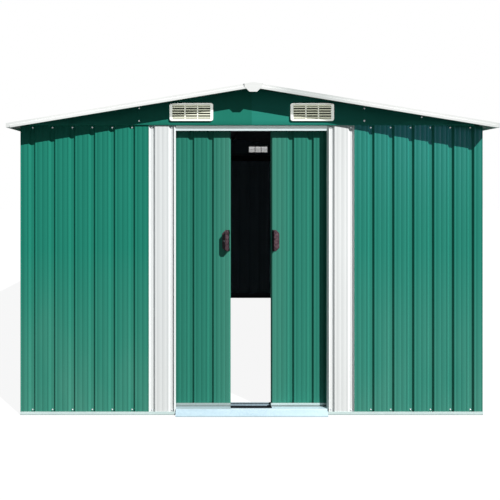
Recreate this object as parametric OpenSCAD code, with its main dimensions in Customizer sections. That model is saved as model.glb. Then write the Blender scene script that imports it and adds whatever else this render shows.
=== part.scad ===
// Metal storage shed with a low gable roof and a pair of sliding doors.
// Every wall, roof and door sheet is one folded profile: wide flats with narrow grooves pressed inward.
// The origin lies on the ground at the middle of the plan, the doors face -Y and Z points up.

/* [Body] */
// Width across the wall sheets, left to right
body_w = 2490; // [2200:1:2900]
// Depth across the wall sheets, front to back
body_d = 2780; // [2200:1:3400]
// Height of the front and back wall sheets above the ground
wall_h = 1560; // [1400:1:1900]
// How far the roof's underside lies below the front wall's top at the side walls
eave_drop = 6; // [2:0.5:10]
// Rise of the roof from the side walls to the ridge
roof_rise = 205; // [160:1:300]
// Roof overhang beyond the side walls
eave_overhang = 40; // [30:1:80]
// Roof overhang beyond the front and back walls
verge_overhang = 100; // [70:1:160]

/* [Sheet profile] */
// Thickness of the wall, roof and door sheets
sheet_t = 0.8; // [0.6:0.1:1.2]
// Spacing of the grooves
groove_pitch = 107.5; // [95:0.5:130]
// Width of a groove at the face of the sheet
groove_w = 28; // [24:1:36]
// Width of a groove's floor
groove_floor = 16; // [10:1:20]
// Depth of a groove
groove_d = 10; // [6:0.5:14]
// Least flat beside the last groove of a sheet
edge_flat = 10; // [4:1:20]

/* [Frame rails] */
// Thickness of the rails and channels
rail_t = 1.2; // [0.8:0.1:2]
// Height of the floor rail's outer lip
floor_lip_h = 18; // [12:1:30]
// Height of the floor rail's inner leg
floor_leg_h = 45; // [36:1:60]
// Height of the top rails' leg behind the back and side walls
top_leg_h = 60; // [40:1:80]
// Width of the top rails' flange
top_flange_w = 33; // [24:1:45]
// Height of the mid rails above the ground
mid_rail_z = 770; // [600:1:900]
// Height of a mid rail's leg
mid_leg_h = 40; // [30:1:60]
// Width of a mid rail's flange
mid_flange_w = 20; // [14:1:30]
// Half the width of the ridge beam
beam_half_w = 40; // [30:1:60]
// Depth of the ridge beam's legs
beam_leg = 50; // [30:1:60]
// Distance of the purlins from the ridge, down the slope
purlin_x = 620; // [500:1:720]
// Width of a purlin's flanges
purlin_w = 40; // [30:1:50]
// Depth of a purlin
purlin_d = 45; // [30:1:60]
// Assembly gap between neighbouring pieces
fit = 0.3; // [0.2:0.05:0.4]

/* [Doors] */
// Clear width between the two door posts
door_open_w = 818; // [740:1:900]
// Gap between the leaves as they stand, partly open
door_gap = 220; // [100:1:300]
// Half the gap that is left between the leaves when they are shut
leaf_meet = 2.5; // [2.5:0.5:4]
// Overlap of a shut leaf behind its post
leaf_lap = 30; // [20:1:50]
// Distance from the wall's face back to the leaf's face
door_setback = 45; // [42:1:55]
// How far the leaf's top edge stays below the wall's top
leaf_top_gap = 15; // [13:0.5:20]
// Distance of the first groove from the leaf's meeting edge
leaf_groove_x = 110; // [104:1:116]
// How far the leaf's folded edges stand behind its grooves
leaf_lip = 1.2; // [0.8:0.1:2]
// Width of the flat strip beside the doorway, before the post's first groove
jamb_strip = 7; // [4:0.5:12]
// Depth of the post's fold into the doorway
jamb_fold = 22; // [16:1:28]

/* [Door track] */
// Height of the sill's top
sill_h = 30; // [26:0.5:34]
// How far the sill's ramp reaches in front of the wall
sill_reach = 24; // [16:1:30]
// Height of the track's back leg
track_back_h = 40; // [34:1:50]
// Height of the bottom rail's underside above the ground
leaf_rail_z = 18; // [15:0.5:22]
// Height of the bottom rail on the leaf
leaf_rail_h = 27; // [20:1:36]
// Width of a guide shoe
shoe_w = 21; // [15:1:24]
// Length of a guide shoe
shoe_len = 30; // [20:1:50]
// Running gap on each side of a guide shoe
shoe_gap = 2.5; // [1.5:0.5:4]
// Height of the header's face above the doorway
header_face_h = 28; // [20:1:34]
// Radius of a hanger's roller
roller_r = 7.5; // [6:0.5:8]
// Width of a hanger's roller
roller_w = 12; // [8:1:16]
// Thickness of a hanger's plate
hanger_t = 2.5; // [1.5:0.5:3]
// Width of a hanger's plate
hanger_w = 40; // [30:1:50]
// Height of a hanger's plate
hanger_h = 58; // [48:1:70]
// Gap between a hanger's plate and its roller
hanger_gap = 8.7; // [8:0.1:11]
// Height of the rolling face below the wall's top
roller_track_drop = 22; // [21:0.5:26]

/* [Door handles] */
// Width of a handle
handle_w = 40; // [32:1:48]
// Height of a handle
handle_h = 116; // [90:1:140]
// How far a handle stands out from its leaf
handle_out = 36; // [26:1:38]
// Wall of a handle's cup
handle_wall = 3; // [2:0.5:4]
// Width of the flange round the cup
handle_flange = 5; // [3:0.5:8]
// Distance of a handle from the leaf's meeting edge
handle_inset = 6; // [4:1:10]
// Height of a handle's lower end above the ground
handle_z = 876; // [700:1:1000]
// Width of a handle's flat face, from the meeting edge's side
handle_face_w = 26; // [20:1:28]
// Chamfer at a handle's outer corners
handle_chamfer = 18; // [6:1:20]
// Fingers that the handle's lip is scalloped for
finger_count = 4; // [2:1:4]
// Spacing of the finger scallops
finger_pitch = 20; // [16:1:22]
// Radius of a finger scallop
finger_r = 12; // [9:1:14]
// Depth of a finger scallop
finger_d = 4; // [1:0.5:5]

/* [Gables and vents] */
// How far the gable sheets stand in front of the wall
gable_out = 8; // [5:0.5:14]
// Width of the gable's bottom flange
gable_flange = 20; // [16:1:30]
// Distance of a vent's middle from the shed's middle
vent_x = 324; // [220:1:420]
// Height of a vent's middle above the wall's top
vent_z = 69; // [60:1:74]
// Width of a vent
vent_w = 234; // [180:1:260]
// Height of a vent
vent_h = 96; // [80:1:104]
// Thickness of a vent
vent_t = 10; // [8:0.5:14]
// Radius of a vent's corners
vent_r = 12; // [4:1:18]
// Rim of a vent, left and right of its slots
vent_side_rim = 16; // [12:1:20]
// Rim of a vent, above and below its slots
vent_end_rim = 9; // [8:0.5:14]
// Rows of slots in a vent
vent_rows = 6; // [3:1:7]
// Columns of slots in a vent
vent_cols = 3; // [2:1:4]
// Height of a slot
slot_h = 6; // [3:0.5:7]
// Width of the bars between the columns of slots
vent_bar = 6; // [4:0.5:10]
// Downward tilt of the slots
slot_tilt = 30; // [0:1:40]

/* [Roof trims] */
// Thickness of the verge and eave trims
trim_t = 1.2; // [0.8:0.1:1.6]
// Height of the verge trim's face below the roof's flats
verge_face_h = 24.5; // [20:0.5:34]
// Height of the hem along the verge trim's lower edge
verge_hem_h = 12; // [8:0.5:16]
// How far the hem stands out in front of the verge trim's face
verge_hem_out = 3; // [2:0.5:6]
// Width of the verge trim's top flange
verge_top_w = 50; // [30:1:70]
// Width of the verge trim's bottom lip
verge_lip_w = 12; // [6:1:20]
// How far the verge trim's face ends before the roof's edge
verge_end = 20; // [10:1:30]
// Width of the eave trim's top flange
eave_top_w = 45; // [30:1:60]
// Height of the eave trim's drip edge
eave_drip_h = 22; // [14:1:28]
// Width of each half of the ridge cap
cap_half_w = 50; // [46:1:80]
// Thickness of the ridge cap
cap_t = 0.8; // [0.6:0.1:1.2]
// Half the width of the flap at each end of the ridge cap
flap_half_w = 46; // [36:1:46]
// Depth of the flap's straight sides below the ridge
flap_side = 24; // [16:1:34]
// Depth of the flap's slanted sides
flap_slant = 26; // [16:1:30]
// Opening between the roof sheets at the ridge
ridge_open = 4; // [2:0.5:10]

/* [Hidden] */
GREEN = "#2a8873";
WHITE = "#e6e9e8";
GALVANISED = "#c9d4da";
DARK_COAT = "#303236";
VENT_CREAM = "#e9e6d6";
HANDLE_DARK = "#3b3236";
$fn = 48;
// Overshoot of a cutting tool past the face it cuts
over = 1;
// Inner face of every groove, where the frame rails bear
frame_u = groove_d + sheet_t;
// Shift of the inner bend points, so that a slanted wall keeps the sheet's thickness
bend = sheet_t * tan(atan2(groove_d, (groove_w - groove_floor) / 2) / 2);
half_w = body_w / 2;
half_d = body_d / 2;
// Roof plane: underside of the grooves, measured upright at the ridge
ridge_z = wall_h - eave_drop + roof_rise;
slope = roof_rise / half_w;
slope_a = atan(slope);
roof_half_w = half_w + eave_overhang;
roof_half_d = half_d + verge_overhang;
// Planes of the verge trim's hem, of its set-back face and of the roof sheets' ends
verge_d = roof_half_d - cap_t - fit;
verge_face_d = verge_d - verge_hem_out;
sheet_end_d = verge_face_d - trim_t - fit;
// Door posts: two grooves, then a short strip to the wall sheet
jamb_x = door_open_w / 2;
post_groove_x = jamb_x + jamb_strip + groove_w / 2;
post_end_x = post_groove_x + groove_pitch + groove_w / 2 + 2;
// Door leaves
leaf_w = jamb_x - leaf_meet + leaf_lap;
leaf_depth = frame_u + leaf_lip;
leaf_z = leaf_rail_z + rail_t;
leaf_top = wall_h - leaf_top_gap;
// Bottom track, centred under the leaf
shoe_u = door_setback + leaf_depth / 2;
track_half = shoe_w / 2 + shoe_gap;
track_u = shoe_u - track_half - rail_t;
floor_foot_u = track_u - fit;
// Header and its rolling face
hanger_u = door_setback + frame_u;
roller_u = hanger_u + hanger_t + hanger_gap;
roller_z = wall_h - roller_track_drop + fit + roller_r;
header_web_u = roller_u + roller_w + 6;
header_end_x = min(half_w - frame_u, (ridge_z - wall_h) / slope) - fit - over;
gable_tip_x = min(half_w, (ridge_z - wall_h - 2 * sheet_t - 2 * fit) / slope);
vent_hole_w = vent_w - 2 * vent_side_rim;
vent_hole_h = vent_h - 2 * vent_end_rim;

// Wall frames: x runs along the wall, y runs inward from the face of its flats.
module on_front() {
    translate([0, -half_d, 0])
        children();
}

module on_back() {
    rotate([0, 0, 180])
        on_front()
            children();
}

module on_left() {
    translate([-half_w, 0, 0])
        rotate([0, 0, -90])
            children();
}

module on_right() {
    translate([half_w, 0, 0])
        rotate([0, 0, 90])
            children();
}

// Draws its children and their mirror image on the other side of the shed.
module both_sides() {
    children();
    mirror([1, 0, 0])
        children();
}

// Stands a flat outline upright between two depths.
module upright(y0, y1) {
    translate([0, y1, 0])
        rotate([90, 0, 0])
            linear_extrude(y1 - y0)
                children();
}

// Lays a section outline along the wall between two places.
module along(x0, x1) {
    translate([x0, 0, 0])
        rotate([90, 0, 90])
            linear_extrude(x1 - x0)
                children();
}

// Groove centres from a first one up to the last that leaves an edge flat before the limit.
function groove_row(first, limit) =
    [for (x = [first : groove_pitch : limit - groove_w / 2 - edge_flat]) x];

function negated(list) = [for (i = [len(list) - 1 : -1 : 0]) -list[i]];

// Closed outline of a folded sheet from x0 to x1, with a groove at each centre
// and an edge folded inward by fold0 and fold1 where those are not zero.
function sheet_outline(x0, x1, centres, fold0 = 0, fold1 = 0) = concat(
    fold0 > 0 ? [[x0, fold0], [x0, 0]] : [[x0, 0]],
    [for (c = centres) each [
        [c - groove_w / 2, 0], [c - groove_floor / 2, groove_d],
        [c + groove_floor / 2, groove_d], [c + groove_w / 2, 0]
    ]],
    fold1 > 0 ? [[x1, 0], [x1, fold1], [x1 - sheet_t, fold1], [x1 - sheet_t, sheet_t]]
              : [[x1, 0], [x1, sheet_t]],
    [for (i = [len(centres) - 1 : -1 : 0]) let (c = centres[i]) each [
        [c + groove_w / 2 + bend, sheet_t], [c + groove_floor / 2 + bend, frame_u],
        [c - groove_floor / 2 - bend, frame_u], [c - groove_w / 2 - bend, sheet_t]
    ]],
    fold0 > 0 ? [[x0 + sheet_t, sheet_t], [x0 + sheet_t, fold0]] : [[x0, sheet_t]]
);

module wall_sheet(x0, x1, centres, top, fold0 = 0, fold1 = 0) {
    translate([0, 0, rail_t])
        linear_extrude(top - rail_t)
            polygon(sheet_outline(x0, x1, centres, fold0, fold1));
}

// Height of a plane that lies h above the underside of the roof's grooves, at x from the ridge.
function slope_z(x, h) = ridge_z - abs(x) * slope + h / cos(slope_a);

// Plate parallel to the right roof slope.
module slope_plate(x0, x1, h0, h1, y0, y1) {
    upright(y0, y1)
        polygon([
            [x0, slope_z(x0, h0)], [x1, slope_z(x1, h0)],
            [x1, slope_z(x1, h1)], [x0, slope_z(x0, h1)]
        ]);
}

// Everything that lies under the roof, for cutting the wall corners to the slope.
module under_roof() {
    upright(-roof_half_d, roof_half_d)
        polygon([
            [-roof_half_w, 0], [roof_half_w, 0],
            [roof_half_w, slope_z(roof_half_w, -fit)],
            [0, slope_z(0, -fit)],
            [-roof_half_w, slope_z(roof_half_w, -fit)]
        ]);
}

// Floor rail: a channel that the sheets stand in, with a foot on the inner side.
module floor_rail(x0, x1, half_len) {
    mitre = half_len - fit / 2;
    reach = floor_foot_u + over;
    intersection() {
        along(x0, x1)
            polygon([
                [-rail_t, 0], [floor_foot_u, 0], [floor_foot_u, rail_t], [frame_u + rail_t, rail_t],
                [frame_u + rail_t, floor_leg_h], [frame_u, floor_leg_h], [frame_u, rail_t],
                [0, rail_t], [0, floor_lip_h], [-rail_t, floor_lip_h]
            ]);
        linear_extrude(floor_leg_h + over)
            polygon([
                [-mitre - 2 * rail_t, -2 * rail_t], [mitre + 2 * rail_t, -2 * rail_t],
                [mitre - reach, reach], [-mitre + reach, reach]
            ]);
    }
}

module floor_rail_front() {
    color(GALVANISED)
        both_sides()
            on_front()
                floor_rail(jamb_x + sheet_t + fit, half_w + rail_t, half_w);
}

module floor_rail_back() {
    color(GALVANISED)
        on_back()
            floor_rail(-half_w - rail_t, half_w + rail_t, half_w);
}

module floor_rail_left() {
    color(GALVANISED)
        on_left()
            floor_rail(-half_d - rail_t, half_d + rail_t, half_d);
}

module floor_rail_right() {
    color(GALVANISED)
        on_right()
            floor_rail(-half_d - rail_t, half_d + rail_t, half_d);
}

// Bent sill plate: a ramp in front of the wall and a step that lies on the track's front leg.
module door_sill() {
    ramp_top = sill_h - sill_reach;
    color(GALVANISED)
        on_front()
            along(-jamb_x + fit, jamb_x - fit)
                polygon([
                    [-sill_reach, 0], [ramp_top, sill_h], [track_u + rail_t, sill_h],
                    [track_u + rail_t, sill_h - rail_t],
                    [ramp_top + rail_t * tan(22.5), sill_h - rail_t],
                    [-sill_reach + rail_t * sqrt(2), 0]
                ]);
}

module door_track_bottom() {
    end_x = half_w - floor_foot_u - fit;
    inner_w = 2 * track_half;
    color(GALVANISED)
        on_front()
            along(-end_x, end_x)
                translate([track_u, 0])
                    polygon([
                        [0, 0], [inner_w + 2 * rail_t, 0], [inner_w + 2 * rail_t, track_back_h],
                        [inner_w + rail_t, track_back_h], [inner_w + rail_t, rail_t],
                        [rail_t, rail_t], [rail_t, sill_h - rail_t], [0, sill_h - rail_t]
                    ]);
}

// Front wall sheet beside the right door post, its outer top corner cut to the roof's slope.
module front_wall() {
    intersection() {
        on_front()
            wall_sheet(post_end_x, half_w, groove_row(post_groove_x + 2 * groove_pitch, half_w), wall_h);
        under_roof();
    }
}

module front_wall_left() {
    color(GREEN)
        mirror([1, 0, 0])
            front_wall();
}

module front_wall_right() {
    color(GREEN)
        front_wall();
}

// Door post: the same profile as the wall, folded into the doorway and notched under the header.
module door_post() {
    on_front()
        difference() {
            wall_sheet(
                jamb_x, post_end_x - fit, [post_groove_x, post_groove_x + groove_pitch],
                wall_h, fold0 = jamb_fold
            );
            translate([jamb_x - over, frame_u - fit, wall_h - header_face_h - fit])
                cube([sheet_t + 2 * over, jamb_fold, header_face_h + over]);
        }
}

module door_post_left() {
    color(WHITE)
        mirror([1, 0, 0])
            door_post();
}

module door_post_right() {
    color(WHITE)
        door_post();
}

// Half of a side wall, from the middle seam to the back of the end wall's sheet.
side_grooves = groove_row(groove_pitch / 2, half_d);
side_end = half_d - sheet_t - fit;
side_top = slope_z(half_w, -fit);

module left_wall_front() {
    color(GREEN)
        on_left()
            wall_sheet(fit / 2, side_end, side_grooves, side_top);
}

module left_wall_rear() {
    color(GREEN)
        on_left()
            wall_sheet(-side_end, -fit / 2, negated(side_grooves), side_top);
}

module right_wall_front() {
    color(GREEN)
        on_right()
            wall_sheet(-side_end, -fit / 2, negated(side_grooves), side_top);
}

module right_wall_rear() {
    color(GREEN)
        on_right()
            wall_sheet(fit / 2, side_end, side_grooves, side_top);
}

// Back wall in three sheets, with a groove on the shed's middle line.
back_seam = 3.5 * groove_pitch;

module back_wall_side() {
    intersection() {
        on_back()
            wall_sheet(back_seam, half_w, groove_row(4 * groove_pitch, half_w), wall_h);
        under_roof();
    }
}

module back_wall_left() {
    color(GREEN)
        back_wall_side();
}

module back_wall_middle() {
    color(GREEN)
        on_back()
            wall_sheet(
                -back_seam + fit, back_seam - fit,
                [for (k = [-3 : 3]) k * groove_pitch], wall_h
            );
}

module back_wall_right() {
    color(GREEN)
        mirror([1, 0, 0])
            back_wall_side();
}

// Header over the doorway: its face closes the front, its inner flange is the rail for the rollers.
module door_header() {
    rail_z = wall_h - roller_track_drop;
    face_u = frame_u + rail_t;
    color(WHITE)
        on_front()
            along(-header_end_x, header_end_x)
                polygon([
                    [frame_u, wall_h - header_face_h], [face_u, wall_h - header_face_h],
                    [face_u, wall_h - rail_t], [header_web_u, wall_h - rail_t],
                    [header_web_u, rail_z], [roller_u - 1, rail_z], [roller_u - 1, rail_z - rail_t],
                    [header_web_u + rail_t, rail_z - rail_t], [header_web_u + rail_t, wall_h],
                    [frame_u, wall_h]
                ]);
}

module top_rail_back() {
    color(DARK_COAT)
        on_back()
            along(-header_end_x, header_end_x)
                translate([frame_u, wall_h])
                    polygon([
                        [0, -top_leg_h], [rail_t, -top_leg_h], [rail_t, -rail_t],
                        [rail_t + top_flange_w, -rail_t], [rail_t + top_flange_w, 0], [0, 0]
                    ]);
}

// Side top rails: a leg behind the wall sheets and a flange that follows the roof.
module side_top_rail() {
    leg_u = frame_u + rail_t;
    flange_u = leg_u + top_flange_w;
    front_end = half_d - header_web_u - rail_t - 1;
    back_end = half_d - flange_u - 1;
    on_right()
        along(-front_end, back_end)
            polygon([
                [frame_u, wall_h - top_leg_h], [leg_u, wall_h - top_leg_h],
                [leg_u, slope_z(half_w - leg_u, -fit) - rail_t],
                [flange_u, slope_z(half_w - flange_u, -fit) - rail_t],
                [flange_u, slope_z(half_w - flange_u, -fit)],
                [frame_u, slope_z(half_w - frame_u, -fit)]
            ]);
}

module side_top_rails() {
    color(DARK_COAT)
        both_sides()
            side_top_rail();
}

// Mid rails: one angle behind each side wall.
module mid_rail() {
    on_right()
        along(-half_d + frame_u + fit, half_d - frame_u - fit)
            translate([frame_u, mid_rail_z])
                polygon([
                    [0, 0], [rail_t + mid_flange_w, 0], [rail_t + mid_flange_w, rail_t],
                    [rail_t, rail_t], [rail_t, mid_leg_h], [0, mid_leg_h]
                ]);
}

module mid_rails() {
    color(DARK_COAT)
        both_sides()
            mid_rail();
}

// Half of a gable: a flat sheet on a bottom flange, with a hole behind the vent.
module gable() {
    face_y = -gable_out;
    on_front() {
        upright(face_y, face_y + sheet_t)
            difference() {
                polygon([
                    [fit / 2, wall_h], [gable_tip_x, wall_h],
                    [gable_tip_x, slope_z(gable_tip_x, -fit)], [fit / 2, slope_z(fit / 2, -fit)]
                ]);
                translate([vent_x - vent_hole_w / 2, wall_h + vent_z - vent_hole_h / 2])
                    square([vent_hole_w, vent_hole_h]);
            }
        translate([fit / 2, face_y, wall_h])
            cube([gable_tip_x - fit / 2, gable_flange, sheet_t]);
    }
}

module gable_front_left() {
    color(GREEN)
        mirror([1, 0, 0])
            gable();
}

module gable_front_right() {
    color(GREEN)
        gable();
}

module gable_back_left() {
    color(GREEN)
        rotate([0, 0, 180])
            gable();
}

module gable_back_right() {
    color(GREEN)
        mirror([0, 1, 0])
            gable();
}

// Outline of a rectangle with round corners, about its middle.
module round_rect(w, h, r) {
    square([w - 2 * r, h], center = true);
    square([w, h - 2 * r], center = true);
    for (x = [-1, 1], y = [-1, 1])
        translate([x * (w / 2 - r), y * (h / 2 - r)])
            circle(r);
}

// Moulded vent: a raised rim round a sunk panel, with rows of slots that slant down and outward.
module vent() {
    slot_w = (vent_hole_w - (vent_cols - 1) * vent_bar) / vent_cols;
    row_pitch = vent_hole_h / vent_rows;
    sunk = vent_t * 0.3;
    on_front()
        translate([vent_x, -gable_out, wall_h + vent_z])
            difference() {
                upright(-vent_t, 0)
                    round_rect(vent_w, vent_h, vent_r);
                upright(-vent_t - over, -vent_t + sunk)
                    square([vent_hole_w + vent_bar, vent_hole_h], center = true);
                for (i = [0 : vent_cols - 1], j = [0 : vent_rows - 1])
                    translate([
                        (i - (vent_cols - 1) / 2) * (slot_w + vent_bar), -vent_t / 2,
                        (j - (vent_rows - 1) / 2) * row_pitch
                    ])
                        rotate([slot_tilt, 0, 0])
                            cube([slot_w, 4 * vent_t, slot_h], center = true);
            }
}

module front_vents() {
    color(VENT_CREAM)
        both_sides()
            vent();
}

module back_vents() {
    color(VENT_CREAM)
        mirror([0, 1, 0])
            both_sides()
                vent();
}

// Roof sheet: half of one slope, from the ridge to the eave, its grooves running down the slope.
module roof_sheet(x_side, y_side) {
    slope_end = (roof_half_w - trim_t - fit - frame_u * sin(slope_a)) / cos(slope_a);
    centres = groove_row(groove_pitch / 2, sheet_end_d);
    outline = sheet_outline(fit / 2, sheet_end_d, centres);
    mirror([x_side < 0 ? 1 : 0, 0, 0])
        mirror([0, y_side < 0 ? 1 : 0, 0])
            translate([0, 0, ridge_z])
                rotate([0, slope_a, 0])
                    along(ridge_open, slope_end)
                        polygon([for (p = outline) [p[0], frame_u - p[1]]]);
}

module roof_left_front() {
    color(GREEN)
        roof_sheet(-1, -1);
}

module roof_left_rear() {
    color(GREEN)
        roof_sheet(-1, 1);
}

module roof_right_front() {
    color(GREEN)
        roof_sheet(1, -1);
}

module roof_right_rear() {
    color(GREEN)
        roof_sheet(1, 1);
}

// Length of the roof's carrying sections, between the backs of the two gables.
carrier_half_d = half_d + gable_out - sheet_t - fit;

// Ridge beam: a channel folded to both slopes, with a leg under each.
module ridge_beam() {
    inner = beam_half_w - rail_t;
    leg_z = slope_z(beam_half_w, -fit) - beam_leg;
    color(DARK_COAT)
        upright(-carrier_half_d, carrier_half_d)
            polygon([
                [-beam_half_w, slope_z(beam_half_w, -fit)], [0, slope_z(0, -fit)],
                [beam_half_w, slope_z(beam_half_w, -fit)], [beam_half_w, leg_z], [inner, leg_z],
                [inner, slope_z(inner, -fit - rail_t)], [0, slope_z(0, -fit - rail_t)],
                [-inner, slope_z(inner, -fit - rail_t)], [-inner, leg_z], [-beam_half_w, leg_z]
            ]);
}

// Purlins: one open channel under the middle of each slope.
module purlin() {
    translate([0, 0, ridge_z])
        rotate([0, slope_a, 0])
            upright(-carrier_half_d, carrier_half_d)
                translate([purlin_x, -fit - purlin_d])
                    polygon([
                        [0, 0], [purlin_w, 0], [purlin_w, rail_t], [rail_t, rail_t],
                        [rail_t, purlin_d - rail_t], [purlin_w, purlin_d - rail_t],
                        [purlin_w, purlin_d], [0, purlin_d]
                    ]);
}

module roof_purlins() {
    color(DARK_COAT)
        both_sides()
            purlin();
}

// Ridge cap: a low folded cap over both slopes, with a flap turned down at each end.
module ridge_cap() {
    under = frame_u + trim_t + 2 * fit;
    top = under + cap_t;
    side_z = slope_z(0, top) - flap_side;
    color(WHITE) {
        upright(-roof_half_d, roof_half_d)
            polygon([
                [-cap_half_w, slope_z(cap_half_w, under)], [0, slope_z(0, under)],
                [cap_half_w, slope_z(cap_half_w, under)], [cap_half_w, slope_z(cap_half_w, top)],
                [0, slope_z(0, top)], [-cap_half_w, slope_z(cap_half_w, top)]
            ]);
        for (y = [-roof_half_d, roof_half_d - cap_t])
            upright(y, y + cap_t)
                polygon([
                    [-flap_half_w, slope_z(flap_half_w, top)], [0, slope_z(0, top)],
                    [flap_half_w, slope_z(flap_half_w, top)], [flap_half_w, side_z],
                    [flap_half_w - flap_slant, side_z - flap_slant],
                    [-flap_half_w + flap_slant, side_z - flap_slant], [-flap_half_w, side_z]
                ]);
    }
}

// Verge trim on the front end of the right slope: a top flange, a set-back face below it
// and a hem that stands out along the lower edge and turns in underneath.
module verge_trim() {
    top = frame_u + fit + trim_t;
    bottom = frame_u - verge_face_h;
    hem_top = bottom + verge_hem_h;
    end_x = roof_half_w - verge_end;
    mirror([0, 1, 0]) {
        slope_plate(fit / 2, end_x, hem_top - trim_t, top, verge_face_d - trim_t, verge_face_d);
        slope_plate(fit / 2, end_x, hem_top - trim_t, hem_top, verge_face_d - trim_t, verge_d);
        slope_plate(fit / 2, end_x, bottom, hem_top, verge_d - trim_t, verge_d);
        slope_plate(fit / 2, end_x, bottom, bottom + trim_t, verge_d - verge_lip_w, verge_d);
        slope_plate(
            fit / 2, roof_half_w - eave_top_w - fit, frame_u + fit, top,
            verge_face_d - verge_top_w, verge_face_d
        );
    }
}

module verge_trims_front() {
    color(WHITE)
        both_sides()
            verge_trim();
}

module verge_trims_back() {
    color(WHITE)
        mirror([0, 1, 0])
            both_sides()
                verge_trim();
}

// Eave trim: a flange on the roof's edge with a drip turned down in front of the sheets' ends.
module eave_trim() {
    inner_x = roof_half_w - eave_top_w;
    drip_x = roof_half_w - trim_t;
    low = frame_u + fit;
    high = low + trim_t;
    drip_z = slope_z(roof_half_w, high) - eave_drip_h;
    upright(-sheet_end_d, sheet_end_d)
        polygon([
            [inner_x, slope_z(inner_x, low)], [drip_x, slope_z(drip_x, low)], [drip_x, drip_z],
            [roof_half_w, drip_z], [roof_half_w, slope_z(roof_half_w, high)],
            [inner_x, slope_z(inner_x, high)]
        ]);
}

module eave_trims() {
    color(WHITE)
        both_sides()
            eave_trim();
}

// Right door leaf's frame: x runs from its meeting edge, y inward from the wall's face.
module on_leaf() {
    on_front()
        translate([door_gap / 2, 0, 0])
            children();
}

leaf_grooves = groove_row(leaf_groove_x, leaf_w - edge_flat);

module door_leaf() {
    on_leaf()
        translate([0, door_setback, leaf_z])
            linear_extrude(leaf_top - leaf_z)
                polygon(sheet_outline(0, leaf_w, leaf_grooves, leaf_depth, leaf_depth));
}

module door_leaf_left() {
    color(GREEN)
        mirror([1, 0, 0])
            door_leaf();
}

module door_leaf_right() {
    color(GREEN)
        door_leaf();
}

// Bottom rail: a channel over the leaf's lower edge, with two guide shoes that run in the track.
module door_bottom_rail() {
    shoe_drop = leaf_rail_z - rail_t - 2.8;
    on_leaf() {
        along(0, leaf_w)
            translate([door_setback - rail_t, leaf_rail_z])
                polygon([
                    [0, 0], [leaf_depth + 2 * rail_t, 0], [leaf_depth + 2 * rail_t, leaf_rail_h],
                    [leaf_depth + rail_t, leaf_rail_h], [leaf_depth + rail_t, rail_t],
                    [rail_t, rail_t], [rail_t, leaf_rail_h], [0, leaf_rail_h]
                ]);
        for (x = [leaf_grooves[0], leaf_grooves[len(leaf_grooves) - 1]])
            translate([x - shoe_len / 2, shoe_u - shoe_w / 2, leaf_rail_z - shoe_drop])
                cube([shoe_len, shoe_w, shoe_drop]);
    }
}

module door_bottom_rail_left() {
    color(GALVANISED)
        mirror([1, 0, 0])
            door_bottom_rail();
}

module door_bottom_rail_right() {
    color(GALVANISED)
        door_bottom_rail();
}

// Hangers: a plate behind the first and last groove, an axle and a roller on the header's rail.
module door_hangers() {
    plate_top = leaf_top + 8;
    axle_r = roller_r * 0.4;
    on_leaf()
        for (x = [leaf_grooves[0], leaf_grooves[len(leaf_grooves) - 1]])
            translate([x, hanger_u, 0]) {
                translate([-hanger_w / 2, 0, plate_top - hanger_h])
                    cube([hanger_w, hanger_t, hanger_h]);
                translate([0, 0, roller_z])
                    rotate([-90, 0, 0]) {
                        cylinder(r = axle_r, h = roller_u - hanger_u + roller_w + 2);
                        translate([0, 0, roller_u - hanger_u])
                            cylinder(r = roller_r, h = roller_w);
                    }
            }
}

module door_hangers_left() {
    color(GALVANISED)
        mirror([1, 0, 0])
            door_hangers();
}

module door_hangers_right() {
    color(GALVANISED)
        door_hangers();
}

// Outline of a handle seen from the front, from x0 outward and drawn in by an inset,
// with its outer corners cut off.
module handle_outline(x0, inset) {
    w = handle_w - inset;
    c = handle_chamfer;
    polygon([
        [x0, inset], [w - c, inset], [w, inset + c],
        [w, handle_h - inset - c], [w - c, handle_h - inset], [x0, handle_h - inset]
    ]);
}

// Bulge of a handle's cup from depth y0 outward, drawn in by an inset:
// a flat face, then a side that slants back to the flange.
module handle_bulge(x0, y0, inset) {
    out = handle_out - inset;
    foot_x = handle_w - handle_flange - inset;
    intersection() {
        upright(-handle_out - over, y0)
            handle_outline(x0, inset + handle_flange);
        linear_extrude(handle_h)
            polygon([[x0, 0], [x0, -out], [handle_face_w - inset, -out], [foot_x, 0]]);
    }
}

// Handle: a moulded cup pull on a thin flange, open and scalloped towards the meeting edge.
module door_handle() {
    on_leaf()
        translate([handle_inset, door_setback, handle_z])
            difference() {
                union() {
                    upright(-handle_wall, 0)
                        handle_outline(0, 0);
                    handle_bulge(0, 0, 0);
                }
                handle_bulge(-over, -handle_wall, handle_wall);
                for (k = [0 : finger_count - 1])
                    translate([
                        finger_d - finger_r, -handle_wall,
                        handle_h / 2 + (k - (finger_count - 1) / 2) * finger_pitch
                    ])
                        rotate([90, 0, 0])
                            cylinder(r = finger_r, h = handle_out);
            }
}

module door_handle_left() {
    color(HANDLE_DARK)
        mirror([1, 0, 0])
            door_handle();
}

module door_handle_right() {
    color(HANDLE_DARK)
        door_handle();
}

floor_rail_front();
floor_rail_back();
floor_rail_left();
floor_rail_right();
door_sill();
door_track_bottom();
front_wall_left();
front_wall_right();
door_post_left();
door_post_right();
left_wall_front();
left_wall_rear();
right_wall_front();
right_wall_rear();
back_wall_left();
back_wall_middle();
back_wall_right();
door_header();
top_rail_back();
side_top_rails();
mid_rails();
gable_front_left();
gable_front_right();
gable_back_left();
gable_back_right();
front_vents();
back_vents();
roof_left_front();
roof_left_rear();
roof_right_front();
roof_right_rear();
ridge_beam();
roof_purlins();
ridge_cap();
verge_trims_front();
verge_trims_back();
eave_trims();
door_leaf_left();
door_leaf_right();
door_bottom_rail_left();
door_bottom_rail_right();
door_hangers_left();
door_hangers_right();
door_handle_left();
door_handle_right();
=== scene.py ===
"""Looks of a metal storage shed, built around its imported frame. Lengths are in metres."""

import math
from functools import partial

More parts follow.
